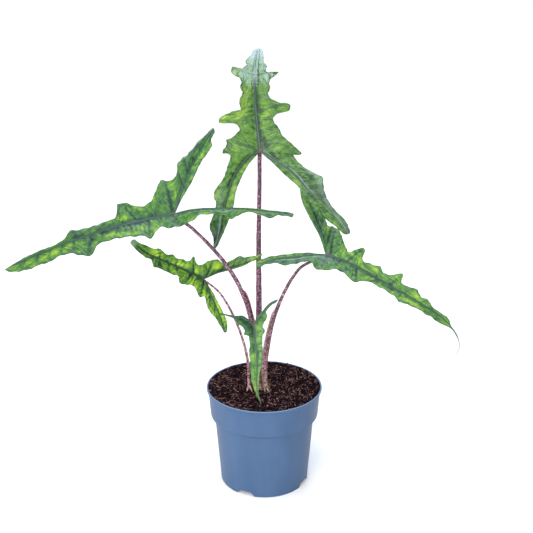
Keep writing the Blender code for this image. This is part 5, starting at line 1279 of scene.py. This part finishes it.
# The corm: a lumpy stub, mostly under the soil, with dry scales round the stalks. A scale is a grid t (up) by
# w (across), radius + lean t^2 height, turned by w half width / radius, and ragged along its top. A root is a
# ring of radius r sqrt(1 - t^3) carried from its start by length t^0.8 outwards and t downwards, into the
# soil.
def makeCorm():
    draw = np.random.default_rng(corm["seed"])
    share = np.linspace(0, 1, corm["rings"])
    low, high, middle = corm["bottom"], corm["top"], np.array(corm["centre"] + (0,))
    profile = np.stack([corm["radius"] * np.sin(np.clip(share * math.pi, 0.0, math.pi)) ** 0.45,
                        low + (high - low) * share], axis=1)
    points, triangles = turned(profile, corm["sides"])
    points = points + points * (1, 1, 0) * (0.06 * softNoise(points, 9, 6))[:, None] + middle
    points[:, 2] = np.clip(points[:, 2], low, high)
    parts = [(points, triangles)]
    rows, columns = corm["scaleGrid"]
    t, w = np.meshgrid(np.linspace(0, 1, rows), np.linspace(-1, 1, columns), indexing="ij")
    grid = gridTriangles(rows, columns)
    for turn, radius, height, halfWidth, lean in corm["scales"]:
        ragged = 1 - 0.45 * np.abs(w) ** 2.2 + 0.16 * np.interp(w, np.linspace(-1, 1, 9), draw.normal(size=9))
        out = radius + lean * t**2 * height + 0.5 * np.cos(w * 5 + turn)
        angle = math.radians(turn) + w * halfWidth / radius * (1 - 0.35 * t)
        z = corm["scaleFoot"] + (height + 2) * t * ragged
        flat = (np.stack([out * np.cos(angle), out * np.sin(angle), z], axis=-1) + middle).reshape(-1, 3)
        shift = pointNormals(flat, grid) * corm["scaleHalf"]
        parts.append(twoSkins(flat + shift, flat - shift, grid))
    scaleFaces = sum(len(faces) for _, faces in parts)
    steps, sides = corm["rootGrid"]
    t = np.linspace(0, 1, steps)
    for start, turn, length, radius in corm["roots"]:
        out = np.array([math.cos(math.radians(turn)), math.sin(math.radians(turn)), 0.0])
        down = t[:, None] * (0, 0, start[2] - corm["rootEnd"])
        centre = np.array(start) + (t**0.8)[:, None] * out * length - down
        flat = np.cross(out, (0, 0, 1.0)) + 0 * centre
        up = np.cross(flat, unit(np.gradient(centre, axis=0)))
        thick = radius * np.sqrt(np.clip(1 - t**3, 0.01, 1)) * (1 + 0.1 * draw.normal(size=len(t)))
        tube, faces = closedTube(centre, centre[:, None] + thick[:, None, None] * ringWays(flat, up, sides))
        outward = (areaNormals(tube, faces) * tube[faces[:, 0]]).sum() > 0
        parts.append((tube, faces if outward else faces[:, ::-1]))
    points, triangles = joined(parts)
    finishOf = np.arange(len(triangles)) >= scaleFaces
    piece = meshPiece("corm_with_dry_scales", points, triangles, [dryScale(), youngRoot()], finishOf)
    dress(piece, "corm")


makePot()
makeSoil()
makeCorm()


# Studio, in metres: a broad white floor under a bright even sky, a soft key light from the front left, a
# softbox above and behind, which the leaves' waxy tops reflect, and a wide sun. A light is (name, place,
# size, power, colour), and the sun (the way towards it, strength, width in degrees).
studio = {
    "sky": 0.4, "paper": 0.96, "floorRadius": 30.0, "floorSides": 96, "aim": (0.0, 0.0, 0.2),
    "lights": [("key", (-0.5, -1.7, 0.45), 1.5, 33.0, "#ffffff"),
               ("top", (0.09, 0.72, 1.26), 0.5, 8.5, "#d6e6ff")],
    "sun": ((-0.38, -0.7, 1.0), 2.75, 100),
    "camera": {"place": (0.00233, -0.821, 0.513), "down": 18.63, "lens": 58.76},
}


# A lamp in the scene that shines along the opposite of the way given
def hangLamp(name, light, back):
    x, y, z = back
    lamp = addObject("light_" + name, light)
    lamp.rotation_euler = (math.atan2(math.hypot(x, y), z), 0, math.atan2(x, -y))
    return lamp


# The studio's floor is a fan of triangles round its middle: x = r cos a, y = r sin a, z = 0
def makeStudio():
    scene = bpy.context.scene
    world = bpy.data.worlds.new("studio_sky")
    world.use_nodes = True
    feed(world.node_tree.nodes["Background"], {"Color": (1.0, 1.0, 1.0, 1.0), "Strength": studio["sky"]})
    scene.world = world
    white = 3 * (studio["paper"],) + (1.0,)
    paper = newFinish("white_paper", {"Roughness": 0.9, "IOR": 1.4, "Base Color": white})[0]
    side = np.arange(studio["floorSides"])
    angle = side / studio["floorSides"] * fullTurn
    ring = np.stack([np.cos(angle), np.sin(angle), 0 * angle], axis=1) * studio["floorRadius"] / mm
    fan = np.stack([side, np.roll(side, -1), 0 * side + len(side)], axis=1)
    floor = meshPiece("studio_floor", np.vstack([ring, [(0, 0, 0)]]), fan, [paper])
    for name, place, width, power, colour in studio["lights"]:
        light = bpy.data.lights.new(name, "AREA")
        light.shape, light.size, light.energy, light.color = "SQUARE", width, power, linear(colour)[:3]
        hangLamp(name, light, np.array(place) - np.array(studio["aim"])).location = place
    back, strength, spread = studio["sun"]
    light = bpy.data.lights.new("sun", "SUN")
    light.energy, light.angle = strength, math.radians(spread)
    hangLamp("sun", light, back)
    camera = addObject("camera", bpy.data.cameras.new("camera"))
    camera.location = studio["camera"]["place"]
    camera.rotation_euler = (math.radians(90 - studio["camera"]["down"]), 0, 0)
    camera.data.lens = studio["camera"]["lens"]
    scene.camera = camera
    scene.view_settings.view_transform = "Standard"
    print("studio", len(studio["lights"]) + 1, "lights")


makeStudio()
